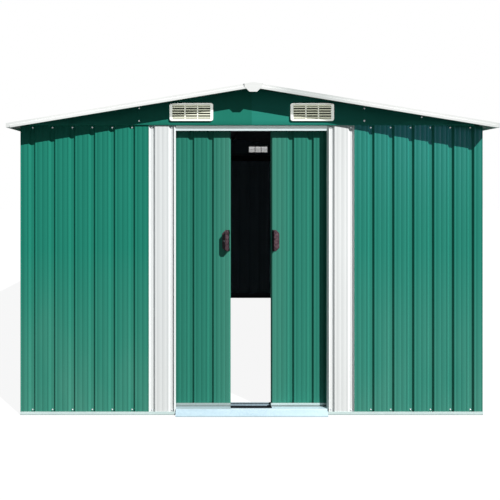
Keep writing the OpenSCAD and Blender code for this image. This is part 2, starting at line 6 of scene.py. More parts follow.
import bmesh
import bpy
from mathutils import Matrix, Vector, noise


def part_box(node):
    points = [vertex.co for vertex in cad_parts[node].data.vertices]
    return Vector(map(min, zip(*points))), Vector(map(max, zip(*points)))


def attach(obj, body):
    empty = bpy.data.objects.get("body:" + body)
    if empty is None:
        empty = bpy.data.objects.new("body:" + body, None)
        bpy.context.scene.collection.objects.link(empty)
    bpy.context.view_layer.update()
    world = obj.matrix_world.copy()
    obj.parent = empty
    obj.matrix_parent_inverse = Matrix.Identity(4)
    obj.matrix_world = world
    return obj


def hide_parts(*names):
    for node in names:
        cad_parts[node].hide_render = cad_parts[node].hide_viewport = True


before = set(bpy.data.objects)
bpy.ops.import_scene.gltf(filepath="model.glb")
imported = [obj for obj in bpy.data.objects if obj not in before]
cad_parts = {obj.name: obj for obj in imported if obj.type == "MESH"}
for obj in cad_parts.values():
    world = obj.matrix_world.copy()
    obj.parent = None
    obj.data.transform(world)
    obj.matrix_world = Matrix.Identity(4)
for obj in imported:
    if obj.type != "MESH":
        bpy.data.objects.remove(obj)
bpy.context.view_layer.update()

# View: a camera square to the doors, a little left of the middle and at chest height.
# The picture lies below and to the right of the lens axis, so the lens is shifted.
EYE_X = -0.240
EYE_Z = 1.241
EYE_DISTANCE = 2.663
LENS_MM = 35.6
LENS_SHIFT = (0.086, -0.131)
scene = bpy.context.scene
scene.view_settings.view_transform = "Standard"
front_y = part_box("front_wall_left")[0].y
camera_data = bpy.data.cameras.new("front_view")
camera_data.lens = LENS_MM
camera_data.shift_x, camera_data.shift_y = LENS_SHIFT
camera = bpy.data.objects.new("front_view", camera_data)
camera.location = (EYE_X, front_y - EYE_DISTANCE, EYE_Z)
camera.rotation_euler = (math.pi / 2, 0, 0)
scene.collection.objects.link(camera)
scene.camera = camera


# Daylight: a sun from the front right, above the camera, and a pale blue sky that fills the shade and
# looks plain white. As a bright yard does, a weak level fill lights the header and a beam the vents,
# and a soft bluish patch lies on the upper right of the front wall.
SUN_TRAVEL = Vector((-0.90, 1.0, -1.03))
SUN_STRENGTH = 4.7
SUN_COLOUR = (1.0, 0.99, 0.975)
SUN_SPREAD = math.radians(0.7)
SKY_COLOUR = (0.76, 0.90, 1.0, 1.0)
SKY_STRENGTH = 0.12
FILL_TRAVEL = Vector((0.12, 1.0, -0.03))
FILL_STRENGTH = 1.6
FILL_COLOUR = (1.0, 0.97, 0.88)
FILL_SPREAD = math.radians(25)
PATCH_FROM = Vector((3.10, -3.39, 1.55))
PATCH_ON = Vector((0.82, -1.39, 1.53))
PATCH_POWER = 165.0
PATCH_COLOUR = (0.86, 0.52, 1.0)
PATCH_CONE = math.radians(14.5)
BEAM_FROM = Vector((-0.24, -6.0, 1.90))
BEAM_ON = Vector((0.0, -1.40, 1.63))
BEAM_POWER = 600.0
BEAM_COLOUR = (0.96, 1.0, 0.92)
BEAM_CONE = math.radians(40)
BEAM_SOFT = 0.3


def add_node(tree, kind, inputs=None, **settings):
    """Adds a node, sets its properties, and links or sets its inputs by name or number."""
    node = tree.nodes.new(kind)
    for name, value in settings.items():
        setattr(node, name, value)
    for key, value in (inputs or {}).items():
        if isinstance(value, bpy.types.NodeSocket):
            tree.links.new(value, node.inputs[key])
        else:
            node.inputs[key].default_value = value
    return node


def maths(operation, *values):
    """One step of arithmetic on numbers and sockets, in the sockets' own tree."""
    tree = next(value.id_data for value in values if isinstance(value, bpy.types.NodeSocket))
    return add_node(tree, "ShaderNodeMath", dict(enumerate(values)), operation=operation).outputs[0]


times, plus, minus = (partial(maths, step) for step in ("MULTIPLY", "ADD", "SUBTRACT"))
larger, smaller = (partial(maths, step) for step in ("MAXIMUM", "MINIMUM"))
above, below = (partial(maths, step) for step in ("GREATER_THAN", "LESS_THAN"))


def seen_plainly(tree):
    """1 where a ray comes from the eye, or from a reflection or a clear body, and 0 for lighting."""
    path = add_node(tree, "ShaderNodeLightPath").outputs
    reflected = larger(path["Is Glossy Ray"], path["Is Transmission Ray"])
    return larger(path["Is Camera Ray"], reflected)


def hang_lamp(name, kind, power, colour, travel):
    """A lamp of one kind that shines in the direction of travel."""
    data = bpy.data.lights.new(name, kind)
    data.energy = power
    data.color = colour
    lamp = bpy.data.objects.new(name, data)
    lamp.rotation_euler = travel.to_track_quat("-Z", "Y").to_euler()
    scene.collection.objects.link(lamp)
    return lamp


def lit_by(lamp):
    """A collection for the only pieces that a lamp falls on."""
    pieces = bpy.data.collections.new(lamp.name + "_pieces")
    lamp.light_linking.receiver_collection = pieces
    return pieces


def beam(name, start, target, power, colour, cone):
    """A beam with a soft edge, and the collection of the pieces it falls on."""
    lamp = hang_lamp(name, "SPOT", power, colour, target - start)
    lamp.location = start
    lamp.data.spot_size = cone
    lamp.data.spot_blend = 1.0
    lamp.data.shadow_soft_size = BEAM_SOFT
    return lit_by(lamp)


sun = hang_lamp("sun", "SUN", SUN_STRENGTH, SUN_COLOUR, SUN_TRAVEL)
sun.data.angle = SUN_SPREAD
fill = hang_lamp("yard_fill", "SUN", FILL_STRENGTH, FILL_COLOUR, FILL_TRAVEL)
fill.data.angle = FILL_SPREAD
filled_pieces = lit_by(fill)
patch_pieces = beam("sky_patch", PATCH_FROM, PATCH_ON, PATCH_POWER, PATCH_COLOUR, PATCH_CONE)
vent_pieces = beam("vent_beam", BEAM_FROM, BEAM_ON, BEAM_POWER, BEAM_COLOUR, BEAM_CONE)

sky = bpy.data.worlds.new("pale_sky")
sky.use_nodes = True
sky_tree = sky.node_tree
sky_tree.nodes.clear()
sky_light = add_node(sky_tree, "ShaderNodeBackground", {"Color": SKY_COLOUR, "Strength": SKY_STRENGTH})
sky_white = add_node(sky_tree, "ShaderNodeBackground", {"Color": (1, 1, 1, 1), "Strength": 1.0})
sky_mix = add_node(sky_tree, "ShaderNodeMixShader", {
    0: seen_plainly(sky_tree), 1: sky_light.outputs[0], 2: sky_white.outputs[0],
})
add_node(sky_tree, "ShaderNodeOutputWorld", {"Surface": sky_mix.outputs[0]})
scene.world = sky


# Ground: a wide white floor that stays white to the eye, keeps a faint shadow of the shed
# and throws back only part of the light.
GROUND_SPAN = 40.0
GROUND_DROP = 0.001
GROUND_BOUNCE = (0.12, 0.12, 0.12, 1.0)
GROUND_GLOW = 0.92


def new_piece(name, mesh):
    """Links a mesh into the scene as an object at the origin."""
    piece = bpy.data.objects.new(name, mesh)
    scene.collection.objects.link(piece)
    return piece


def mesh_from(name, points, faces, edges=()):
    """A mesh from plain lists."""
    mesh = bpy.data.meshes.new(name)
    mesh.from_pydata(points, edges, faces)
    mesh.validate()
    return mesh


ground_material = bpy.data.materials.new("white_ground")
ground_material.use_nodes = True
ground_material.cycles.emission_sampling = "NONE"
ground_tree = ground_material.node_tree
ground_tree.nodes.clear()
ground_bounce = add_node(ground_tree, "ShaderNodeBsdfDiffuse", {"Color": GROUND_BOUNCE}).outputs[0]
ground_glow = add_node(ground_tree, "ShaderNodeEmission", {"Strength": GROUND_GLOW}).outputs[0]
ground_seen = add_node(ground_tree, "ShaderNodeAddShader", {0: ground_bounce, 1: ground_glow}).outputs[0]
ground_mix = add_node(ground_tree, "ShaderNodeMixShader", {
    0: seen_plainly(ground_tree), 1: ground_bounce, 2: ground_seen,
})
add_node(ground_tree, "ShaderNodeOutputMaterial", {"Surface": ground_mix.outputs[0]})
ground_half = GROUND_SPAN / 2
ground = new_piece("ground", mesh_from(
    "ground",
    [(x * ground_half, y * ground_half, -GROUND_DROP) for x, y in ((-1, -1), (1, -1), (1, 1), (-1, 1))],
    [(0, 1, 2, 3)],
))
ground.data.materials.append(ground_material)


# Floor rails, sill and bottom track: folded strips of bare galvanised steel, laid first and
# bolted to each other at the corners. The zinc has a fine spangle and soft streaks and is bluish
# on the sill. Near-black painted shade lies on it inside the shed, in a line and down inside the
# track, and on the step between the doors. Painted contact shadows run along the ground and the
# back edge of the step, and the left part of the step is darker.
RAIL_LIGHT = (0.68, 0.82, 0.80, 1.0)
RAIL_DARK = (0.56, 0.70, 0.69, 1.0)
SILL_LIGHT = (0.50, 0.64, 0.72, 1.0)
SILL_DARK = (0.43, 0.57, 0.65, 1.0)
TRACK_LIGHT = (0.42, 0.56, 0.64, 1.0)
TRACK_DARK = (0.26, 0.35, 0.41, 1.0)
ZINC_RUBBED = (0.66, 0.81, 0.88, 1.0)
# Near black for painted shade on the zinc: indoors, in contact shadows and in the track; it also darkens
# the left parts of the sill step and the door rails.
NEAR_BLACK = (0.008, 0.010, 0.013, 1.0)
SPANGLE_SIZE = 0.006
SPANGLE_SHARE = 0.18
ZINC_STREAK = ((1, 1, 9), 7.0, 4.0)
ZINC_SPREAD = (0.25, 0.75)
ZINC_ROUGH = (0.38, 0.55)
ZINC_METAL = 0.25
ZINC_GLOSS = 0.04
ZINC_RELIEF = (0.0005, 0.4)
INDOORS = (1.2445, 1.3895)
TREAD_HALF = 0.112
TREAD_Y = -1.375
TREAD_Z = 0.0285
TRACK_LINE_Z = (0.0322, 0.0372)
TRACK_FOOT_Z = (0.0200, 0.0212)
SILL_BACK_SHADOW = (0.45, -1.360)
SILL_LEFT_DARK = 0.28
CONTACT_SHADOW_Z = 0.005
RAIL_CONTACT_SHADOW = 0.6
SILL_CONTACT_SHADOW = 0.5


def new_material(name):
    """A material, its main shader, and the place on a piece as a vector and as its axes."""
    material = bpy.data.materials.new(name)
    material.use_nodes = True
    tree = material.node_tree
    place = add_node(tree, "ShaderNodeTexCoord").outputs["Object"]
    axes = add_node(tree, "ShaderNodeSeparateXYZ", {0: place}).outputs
    return material, tree.nodes["Principled BSDF"], place, axes


def coat(surface, colour, rough, gloss):
    """Gives a surface its colour, its roughness and one level of gloss."""
    links = surface.id_data.links
    links.new(colour, surface.inputs["Base Color"])
    links.new(rough, surface.inputs["Roughness"])
    surface.inputs["Specular IOR Level"].default_value = gloss


def blend(factor, first, second):
    """A colour between two colours."""
    colours = {0: factor, 6: first, 7: second}
    return add_node(factor.id_data, "ShaderNodeMix", colours, data_type="RGBA").outputs[2]


def rescale(value, low, high, from_low=0.0, from_high=1.0):
    """A number carried from one range to another, held at the ends."""
    return add_node(value.id_data, "ShaderNodeMapRange", {
        "Value": value, "From Min": from_low, "From Max": from_high, "To Min": low, "To Max": high,
    }).outputs[0]


def patches(place, stretch, scale, detail=2.0):
    """Soft random patches, from 0 to 1, stretched along the axes."""
    tree = place.id_data
    stretched = add_node(tree, "ShaderNodeMapping", {"Vector": place, "Scale": stretch})
    return add_node(tree, "ShaderNodeTexNoise", {
        "Vector": stretched.outputs[0], "Scale": scale, "Detail": detail,
    }).outputs[0]


def roughen(surface, height, depth, strength):
    """Gives a surface a relief of that depth."""
    tree = surface.id_data
    bump = add_node(tree, "ShaderNodeBump", {"Height": height, "Distance": depth, "Strength": strength})
    tree.links.new(bump.outputs[0], surface.inputs["Normal"])


def indoors(axes, reach):
    """1 within half a width and half a depth of the middle of the shed."""
    return times(*(below(maths("ABSOLUTE", axes[k]), reach[k]) for k in range(2)))


def rail_painted_shade(axes):
    """Painted shade: near-black zinc indoors, and a painted contact shadow in a line along the ground."""
    # A painted contact shadow along the ground, and painted shade on the zinc indoors.
    low = rescale(axes[2], RAIL_CONTACT_SHADOW, 0.0, 0.0, CONTACT_SHADOW_Z)
    return larger(low, indoors(axes, INDOORS))


def on_step(axes):
    """The flat top of the sill."""
    return above(axes[2], TREAD_Z)


def sill_shade_and_left_dark(axes):
    """Painted shade on the step between the door leaves, painted contact shadows along the ground and the
    back edge, and a darker left part.
    """
    between = below(maths("ABSOLUTE", axes[0]), TREAD_HALF)
    # Painted shade on the rear of the step, in the gap between the leaves.
    gap_shade = times(between, above(axes[1], TREAD_Y))
    # Darker on the left part of the step.
    left = times(below(axes[0], -TREAD_HALF), SILL_LEFT_DARK)
    # A painted contact shadow along the back edge of the step.
    behind = times(above(axes[1], SILL_BACK_SHADOW[1]), SILL_BACK_SHADOW[0])
    dark_share = larger(gap_shade, larger(left, behind))
    # A painted contact shadow along the ground.
    low = rescale(axes[2], SILL_CONTACT_SHADOW, 0.0, 0.0, CONTACT_SHADOW_Z)
    return larger(low, times(dark_share, on_step(axes)))


def track_painted_shade(axes):
    """Painted shade in a line under the top edge of the track and down inside its channel."""
    # Painted shade: a dark line under the top edge, and the channel's foot.
    line = times(above(axes[2], TRACK_LINE_Z[0]), below(axes[2], TRACK_LINE_Z[1]))
    return larger(line, rescale(axes[2], 1.0, 0.0, *TRACK_FOOT_Z))


def track_edge(axes):
    """The top edge of the track, rubbed bright by the shoes."""
    return above(axes[2], TRACK_LINE_Z[1])


def galvanised_steel(name, dark, light, darkening, rubbed=None):
    """Zinc with a spangle and streaks, rubbed bright where one function says and darkened to near black
    where the other says, mostly as painted shade.
    """
    material, surface, place, axes = new_material(name)
    tree = material.node_tree
    spangle = add_node(tree, "ShaderNodeTexVoronoi", {"Vector": place, "Scale": 1 / SPANGLE_SIZE})
    crystal = add_node(tree, "ShaderNodeSeparateColor", {0: spangle.outputs["Color"]}).outputs[0]
    streak = patches(place, *ZINC_STREAK)
    streaked = times(streak, 1 - SPANGLE_SHARE)
    tone = maths("MULTIPLY_ADD", crystal, SPANGLE_SHARE, streaked)
    colour = blend(rescale(tone, 0.0, 1.0, *ZINC_SPREAD), dark, light)
    if rubbed:
        colour = blend(rubbed(axes), colour, ZINC_RUBBED)
    # Darkened to near black where the function says, mostly painted shade; there the zinc loses its metal.
    dark_share = darkening(axes)
    darkened = blend(dark_share, colour, NEAR_BLACK)
    coat(surface, darkened, rescale(crystal, *ZINC_ROUGH), ZINC_GLOSS)
    tree.links.new(rescale(dark_share, ZINC_METAL, 0.0), surface.inputs["Metallic"])
    roughen(surface, streak, *ZINC_RELIEF)
    return material


def finish_nodes(material, *names):
    """Gives CAD nodes that stay in view their finish."""
    for name in names:
        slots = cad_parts[name].data.materials
        slots.clear()
        slots.append(material)


finish_nodes(
    galvanised_steel("rail_zinc", RAIL_DARK, RAIL_LIGHT, rail_painted_shade),
    "floor_rail_front", "floor_rail_back", "floor_rail_left", "floor_rail_right",
)
finish_nodes(galvanised_steel("sill_zinc", SILL_DARK, SILL_LIGHT, sill_shade_and_left_dark, on_step), "door_sill")
finish_nodes(
    galvanised_steel("track_zinc", TRACK_DARK, TRACK_LIGHT, track_painted_shade, track_edge), "door_track_bottom"
)


# Wall sheets: steel strip rolled into wide flats with narrow grooves pressed inward and three faint
# beads on each flat. They stand in the floor rails and are screwed to the frame through the grooves.
# The outside is green coil coating that differs a little from coil to coil, the inside pale lacquer.
SHEET_T = 0.0008
GROOVE_PITCH = 0.1075
GROOVE_WIDTH = 0.034
GROOVE_FLOOR = 0.016
GROOVE_DEPTH = 0.010
GROOVE_MARGIN = 0.014
BEND_RADIUS = 0.0020
BEND_EASE = 0.0008
FOLD_EASE = 0.008
BEAD_WIDTH = 0.007
BEAD_DEPTH = 0.0011
BEAD_SPACING = 0.026
BEAD_STEPS = (-1.0, -0.4, 0.0, 0.4, 1.0)
OIL_CAN = 0.0005
OIL_CAN_WAVES = (9.0, 3.0)
EASED_SHARE = 0.7
FLAT_FROM = 0.55
SAME_PLACE = 0.00001
WELD = 0.00003
SHARP_FOLD = math.radians(38)
SHEET_ROWS = 16
FRONT_ROWS = 24
SEED_STEP = 7.3
COIL_STEP = 0.37
NO_ROOF = {"ridge": 100.0, "slope": 0.0}
GREEN = (0.0150, 0.2120, 0.1500, 1.0)
GREEN_PALE = (0.0210, 0.2290, 0.1700, 1.0)
GREEN_DUST = (0.1000, 0.3050, 0.2350, 1.0)
DUST_SHARE = 0.8
DUST_HEIGHT = 0.9
DUST_PATCH = ((1, 1, 0.3), 5.0, 4.0)
PAINT_PATCH = ((1, 1, 0.5), 1.6)
PAINT_TONE = (0.93, 1.07)
PAINT_SPREAD = (0.3, 0.7)
PAINT_ROUGH = (0.38, 0.52)
PAINT_GLOSS = 0.08
PAINT_GRAIN = (900.0, 0.0002, 0.25)
ROLL_STRETCH = 90.0
ROLL_DETAIL = 3.0
BACK_COAT = (0.440, 0.540, 0.600, 1.0)
BACK_LIFT = 1.2
BACK_CLOUD = (3.0, 4.0)
BACK_ROUGH = (0.55, 0.75)
BACK_GLOSS = 0.05


def add_grain(surface, place, fineness, depth, strength):
    """Gives a surface an even grain."""
    roughen(surface, patches(place, (1, 1, 1), fineness), depth, strength)


def coil_coat(name, colour, pale, dust, rolling, dust_share=DUST_SHARE, worn=None):
    """Satin paint baked on strip: a tone for each coil, rolling streaks, broad patches, dust low down."""
    material, surface, place, axes = new_material(name)
    tree = material.node_tree
    broad = patches(place, *PAINT_PATCH)
    stretch = [1.0 if axis == rolling else ROLL_STRETCH for axis in "XYZ"]
    streak = patches(place, stretch, 1.0, ROLL_DETAIL)
    tone = maths("MULTIPLY_ADD", broad, 0.5, times(streak, 0.5))
    coil = add_node(tree, "ShaderNodeAttribute", attribute_name="coil_tone").outputs["Fac"]
    paint = add_node(tree, "ShaderNodeVectorMath", {
        0: blend(coil, colour, pale), "Scale": rescale(tone, *PAINT_TONE, *PAINT_SPREAD),
    }, operation="SCALE").outputs[0]
    low = rescale(axes[2], dust_share, 0.0, 0.0, DUST_HEIGHT)
    film = times(low, patches(place, *DUST_PATCH))
    if worn:
        film = larger(film, worn(axes))
    rough = rescale(streak, *PAINT_ROUGH, *PAINT_SPREAD)
    coat(surface, blend(film, paint, dust), rough, PAINT_GLOSS)
    add_grain(surface, place, *PAINT_GRAIN)
    return material


def clouded(name, dark, light, cloud, rough, gloss, grain=None, spread=(0.0, 1.0), mark=None, third=None):
    """A finish clouded between two colours, with a third colour where the mark function says."""
    material, surface, place, axes = new_material(name)
    tone = patches(place, (1, 1, 1), *cloud)
    colour = blend(rescale(tone, 0.0, 1.0, *spread), dark, light)
    if mark:
        colour = blend(mark(axes), colour, third)
    coat(surface, colour, rescale(tone, *rough), gloss)
    if grain:
        add_grain(surface, place, *grain)
    return material


def back_coat(name, colour, shade_mask=None):
    """Thin matt lacquer on the inner side of a sheet, painted near black as shade where the function says.
    """
    paler = tuple(BACK_LIFT * c for c in colour[:3]) + (1.0,)
    return clouded(name, colour, paler, BACK_CLOUD, BACK_ROUGH, BACK_GLOSS, mark=shade_mask, third=NEAR_BLACK)


def rounded_bend(before, corner, after):
    """Points round a fold of the strip, with one on each side to keep the flats flat."""
    corner = Vector(corner)
    arms = [(Vector(end) - corner).normalized() for end in (before, after)]
    turn = math.pi - arms[0].angle(arms[1])
    reach = BEND_RADIUS * math.tan(turn / 2)
    first, last = [corner + arm * reach for arm in arms]
    middle = (first + last) / 4 + corner / 2
    return [first + arms[0] * BEND_EASE, first, middle, last, last + arms[1] * BEND_EASE]


def half_groove():
    """Half a pitch of the profile, from the middle of a flat to the middle of a groove."""
    start = -GROOVE_PITCH / 2
    points = []
    for centre in (start, start + BEAD_SPACING):
        for share in BEAD_STEPS:
            x = centre + share * BEAD_WIDTH / 2
            if x >= start:
                points.append(Vector((x, BEAD_DEPTH * (1 - share * share) ** 2)))
    flat = (start, 0)
    brow = (-GROOVE_WIDTH / 2, 0)
    foot = (-GROOVE_FLOOR / 2, GROOVE_DEPTH)
    floor = (0, GROOVE_DEPTH)
    return points + rounded_bend(flat, brow, foot) + rounded_bend(brow, foot, floor)


left_half = half_groove()
groove_line = left_half + [Vector((-p.x, p.y)) for p in reversed(left_half)]


def new_tree(name, **inputs):
    """A geometry tree with named inputs, each given by its socket's kind."""
    tree = bpy.data.node_groups.new(name, "GeometryNodeTree")
    tree.interface.new_socket("Geometry", in_out="OUTPUT", socket_type="NodeSocketGeometry")
    tree.interface.new_socket("Geometry", in_out="INPUT", socket_type="NodeSocketGeometry")
    for label, kind in inputs.items():
        tree.interface.new_socket(label, in_out="INPUT", socket_type="NodeSocket" + kind)
    return tree, add_node(tree, "NodeGroupInput").outputs


def end_tree(tree, geometry, material):
    """Closes a tree with its instances made real and its material set."""
    real = add_node(tree, "GeometryNodeRealizeInstances", {0: geometry})
    painted = add_node(tree, "GeometryNodeSetMaterial", {"Geometry": real.outputs[0], "Material": material})
    add_node(tree, "NodeGroupOutput", {0: painted.outputs[0]})
    return painted


def pressed_sheet_tree():
    """Repeats one groove along a sheet, stands it up, dents its flats and gives it thickness."""
    tree, given = new_tree(
        "pressed_sheet", first="Float", pitch="Float", grooves="Int", left="Float", right="Float",
        left_fold="Float", right_fold="Float", ease="Float", bottom="Float", top="Float", rows="Int",
        ridge="Float", slope="Float", thickness="Float", depth="Float", width="Float", bead="Float",
        dent="Float", seed="Float", coil="Float", paint="Material", back="Material",
    )
    count = add_node(tree, "GeometryNodeAttributeDomainSize", {0: given["Geometry"]}).outputs["Point Count"]
    units = plus(given["grooves"], 2)
    columns = times(units, count)
    grid = add_node(tree, "GeometryNodeMeshGrid", {"Vertices X": columns, "Vertices Y": given["rows"]})
    index = add_node(tree, "GeometryNodeInputIndex").outputs[0]
    column = maths("FLOOR", maths("DIVIDE", plus(index, 0.5), given["rows"]))
    row = minus(index, times(column, given["rows"]))
    unit = maths("FLOOR", maths("DIVIDE", plus(column, 0.5), count))
    place_in_unit = minus(column, times(unit, count))
    sample = add_node(tree, "GeometryNodeSampleIndex", {
        "Geometry": given["Geometry"], "Index": place_in_unit,
        "Value": add_node(tree, "GeometryNodeInputPosition").outputs[0],
    }, data_type="FLOAT_VECTOR")
    line = add_node(tree, "ShaderNodeSeparateXYZ", {0: sample.outputs[0]}).outputs
    step = maths("MULTIPLY_ADD", minus(unit, 1), given["pitch"], given["first"])
    free_x = plus(step, line[0])
    from_right = minus(minus(columns, 1), column)
    edges = []
    for away, fold in ((column, given["left_fold"]), (from_right, given["right_fold"])):
        eased = smaller(times(fold, EASED_SHARE), given["ease"])
        last_two = below(away, 1.5)
        last = below(away, 0.5)
        shift = times(last_two, eased)
        turn_in = maths("MULTIPLY_ADD", last, minus(fold, eased), shift)
        edges.append((eased, shift, turn_in))
    (left_ease, left_shift, left_turn), (right_ease, right_shift, right_turn) = edges
    inner_left = plus(given["left"], left_ease)
    inner_right = minus(given["right"], right_ease)
    flat_x = smaller(larger(free_x, inner_left), inner_right)
    x = plus(flat_x, minus(right_shift, left_shift))
    kept = maths("COMPARE", free_x, flat_x, SAME_PLACE)
    before_last = below(unit, minus(units, 1.5))
    inner_unit = times(above(unit, 0.5), before_last)
    flat_from = times(given["width"], FLAT_FROM)
    on_flat = above(maths("ABSOLUTE", line[0]), flat_from)
    shown = times(kept, larger(inner_unit, on_flat))
    calm = times(on_flat, minus(1.0, given["bead"]))
    kept_depth = times(shown, minus(1.0, calm))
    pressed = times(line[1], kept_depth)
    folds = plus(left_turn, right_turn)
    rise = maths("DIVIDE", row, minus(given["rows"], 1))
    span = minus(given["top"], given["bottom"])
    free_z = maths("MULTIPLY_ADD", span, rise, given["bottom"])
    fall = times(maths("ABSOLUTE", x), given["slope"])
    roof_z = minus(given["ridge"], fall)
    z = smaller(free_z, roof_z)
    spot = add_node(tree, "ShaderNodeCombineXYZ", {
        0: times(x, OIL_CAN_WAVES[0]), 1: given["seed"], 2: times(z, OIL_CAN_WAVES[1]),
    })
    swell = add_node(tree, "ShaderNodeTexNoise", {"Vector": spot.outputs[0], "Scale": 1.0}).outputs[0]
    flatness = minus(1.0, maths("DIVIDE", pressed, given["depth"]))
    dent = times(times(swell, given["dent"]), flatness)
    depth = plus(plus(pressed, folds), dent)
    shaped = add_node(tree, "GeometryNodeSetPosition", {
        "Geometry": grid.outputs[0],
        "Position": add_node(tree, "ShaderNodeCombineXYZ", {0: x, 1: depth, 2: z}).outputs[0],
    })
    face = add_node(tree, "GeometryNodeMergeByDistance", {"Geometry": shaped.outputs[0], "Distance": WELD})
    inward = add_node(tree, "ShaderNodeVectorMath", {
        0: add_node(tree, "GeometryNodeInputNormal").outputs[0],
        "Scale": times(given["thickness"], -1),
    }, operation="SCALE")
    thick = add_node(tree, "GeometryNodeExtrudeMesh", {
        "Mesh": face.outputs[0], "Offset": inward.outputs[0], "Individual": False,
    })
    shell = add_node(tree, "GeometryNodeFlipFaces", {0: thick.outputs["Mesh"]})
    both = add_node(tree, "GeometryNodeJoinGeometry")
    tree.links.new(shell.outputs[0], both.inputs[0])
    tree.links.new(face.outputs[0], both.inputs[0])
    solid = add_node(tree, "GeometryNodeMergeByDistance", {"Geometry": both.outputs[0], "Distance": WELD})
    toned = add_node(tree, "GeometryNodeStoreNamedAttribute", {
        "Geometry": solid.outputs[0], "Name": "coil_tone", "Value": given["coil"],
    }, data_type="FLOAT", domain="POINT")
    painted = end_tree(tree, toned.outputs[0], given["paint"])
    backed = add_node(tree, "GeometryNodeSetMaterial", {
        "Geometry": painted.outputs[0], "Selection": thick.outputs["Top"], "Material": given["back"],
    })
    tree.links.new(backed.outputs[0], tree.nodes["Group Output"].inputs[0])
    return tree


def grown(name, tree, base, **sizes):
    """Runs a geometry tree on a base mesh and returns the result as a plain mesh."""
    carrier = new_piece(name + "_carrier", base)
    modifier = carrier.modifiers.new("grow", "NODES")
    modifier.node_group = tree
    for item in tree.interface.items_tree:
        if item.in_out == "INPUT" and item.name in sizes:
            modifier[item.identifier] = sizes[item.name]
    depsgraph = bpy.context.evaluated_depsgraph_get()
    mesh = bpy.data.meshes.new_from_object(carrier.evaluated_get(depsgraph))
    mesh.name = name
    carrier.modifiers.remove(modifier)
    bpy.data.objects.remove(carrier)
    return mesh


def smooth(mesh):
    """Shades a mesh smooth, apart from its sharp edges."""
    mesh.shade_smooth()
    mesh.set_sharp_from_angle(angle=SHARP_FOLD)


sheet_tree = pressed_sheet_tree()
groove_mesh = mesh_from(
    "groove_line", [(p.x, p.y, 0) for p in groove_line], [],
    [(i, i + 1) for i in range(len(groove_line) - 1)],
)
sheet_seed = 0


def pressed_sheet(name, left, right, bottom, top, to_shed, phase, paint, back, **more):
    """A pressed sheet between two edges, with a groove at every whole pitch from the phase."""
    global sheet_seed
    sheet_seed += 1
    first = math.ceil((left + GROOVE_MARGIN - phase) / GROOVE_PITCH) * GROOVE_PITCH + phase
    last = math.floor((right - GROOVE_MARGIN - phase) / GROOVE_PITCH) * GROOVE_PITCH + phase
    sizes = {
        "first": first, "pitch": GROOVE_PITCH, "grooves": round((last - first) / GROOVE_PITCH) + 1,
        "left": left, "right": right, "left_fold": 0.0, "right_fold": 0.0, "ease": FOLD_EASE,
        "bottom": bottom, "top": top, "rows": SHEET_ROWS, "thickness": SHEET_T, "depth": GROOVE_DEPTH,
        "width": GROOVE_WIDTH, "bead": 1.0, "dent": OIL_CAN, "seed": SEED_STEP * sheet_seed,
        "coil": COIL_STEP * sheet_seed % 1.0, "paint": paint, "back": back, **NO_ROOF,
    }
    mesh = grown(name, sheet_tree, groove_mesh, **{**sizes, **more})
    mesh.transform(to_shed)
    smooth(mesh)
    return new_piece(name, mesh)


def stands_for(piece, body, slot, *nodes):
    """Puts a piece on its body, in place of CAD nodes."""
    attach(piece, body)
    if nodes:
        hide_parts(*nodes)
    return piece


def wall_sheet(node, axis, sign, to_shed, phase, **more):
    """A wall sheet in place of its CAD node, which lies along an axis of the shed."""
    low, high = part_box(node)
    ends = sorted((sign * low[axis], sign * high[axis]))
    sheet = pressed_sheet(
        node + "_sheet", *ends, low.z, high.z, to_shed, phase, green_wall, pale_back, **more
    )
    return stands_for(sheet, "shed", "green_sheet", node)


green_wall = coil_coat("green_wall_coat", GREEN, GREEN_PALE, GREEN_DUST, "Z")
pale_back = back_coat("pale_back_coat", BACK_COAT)
half_w = -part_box("left_wall_front")[0].x
half_d = -front_y
wall_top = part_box("front_wall_left")[1].z
side_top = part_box("left_wall_front")[1].z
ridge_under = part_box("ridge_beam")[1].z
roof_slope = (ridge_under - side_top) / half_w
under_slope = {"ridge": ridge_under, "slope": roof_slope}
on_front = Matrix.Translation((0, -half_d, 0))
on_back = Matrix.Rotation(math.pi, 4, "Z") @ on_front
on_left = Matrix.Translation((-half_w, 0, 0)) @ Matrix.Rotation(-math.pi / 2, 4, "Z")
on_right = Matrix.Translation((half_w, 0, 0)) @ Matrix.Rotation(math.pi / 2, 4, "Z")

for node, coil in (("front_wall_left", 0.0), ("front_wall_right", 1.0)):
    sheet = wall_sheet(node, 0, 1, on_front, 0.0, rows=FRONT_ROWS, coil=coil, **under_slope)
    if node == "front_wall_right":
        patch_pieces.objects.link(sheet)
for node in ("back_wall_left", "back_wall_middle", "back_wall_right"):
    wall_sheet(node, 0, -1, on_back, 0.0, **under_slope)
for node in ("left_wall_front", "left_wall_rear"):
    wall_sheet(node, 1, -1, on_left, GROOVE_PITCH / 2)
for node in ("right_wall_front", "right_wall_rear"):
    wall_sheet(node, 1, 1, on_right, GROOVE_PITCH / 2)


# Door posts: the same strip in off-white coating, two grooves wide, folded into the doorway
# beside the doors and screwed to the header and the floor rail.
WHITE = (0.770, 0.800, 0.805, 1.0)
WHITE_PALE = (0.825, 0.850, 0.850, 1.0)
WHITE_DUST = (0.700, 0.720, 0.710, 1.0)
JAMB_FOLD = 0.022
POST_BEAD = 0.5
white_wall = coil_coat("white_post_coat", WHITE, WHITE_PALE, WHITE_DUST, "Z")
for node, folds in (
    ("door_post_left", {"right_fold": JAMB_FOLD, "coil": 0.0}),
    ("door_post_right", {"left_fold": JAMB_FOLD, "coil": 1.0}),
):
    low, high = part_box(node)
    post = pressed_sheet(
        node + "_sheet", low.x, high.x, low.z, high.z, on_front, 0.0, white_wall, pale_back,
        rows=FRONT_ROWS, bead=POST_BEAD, **folds,
    )
    stands_for(post, "shed", "white_sheet", node)


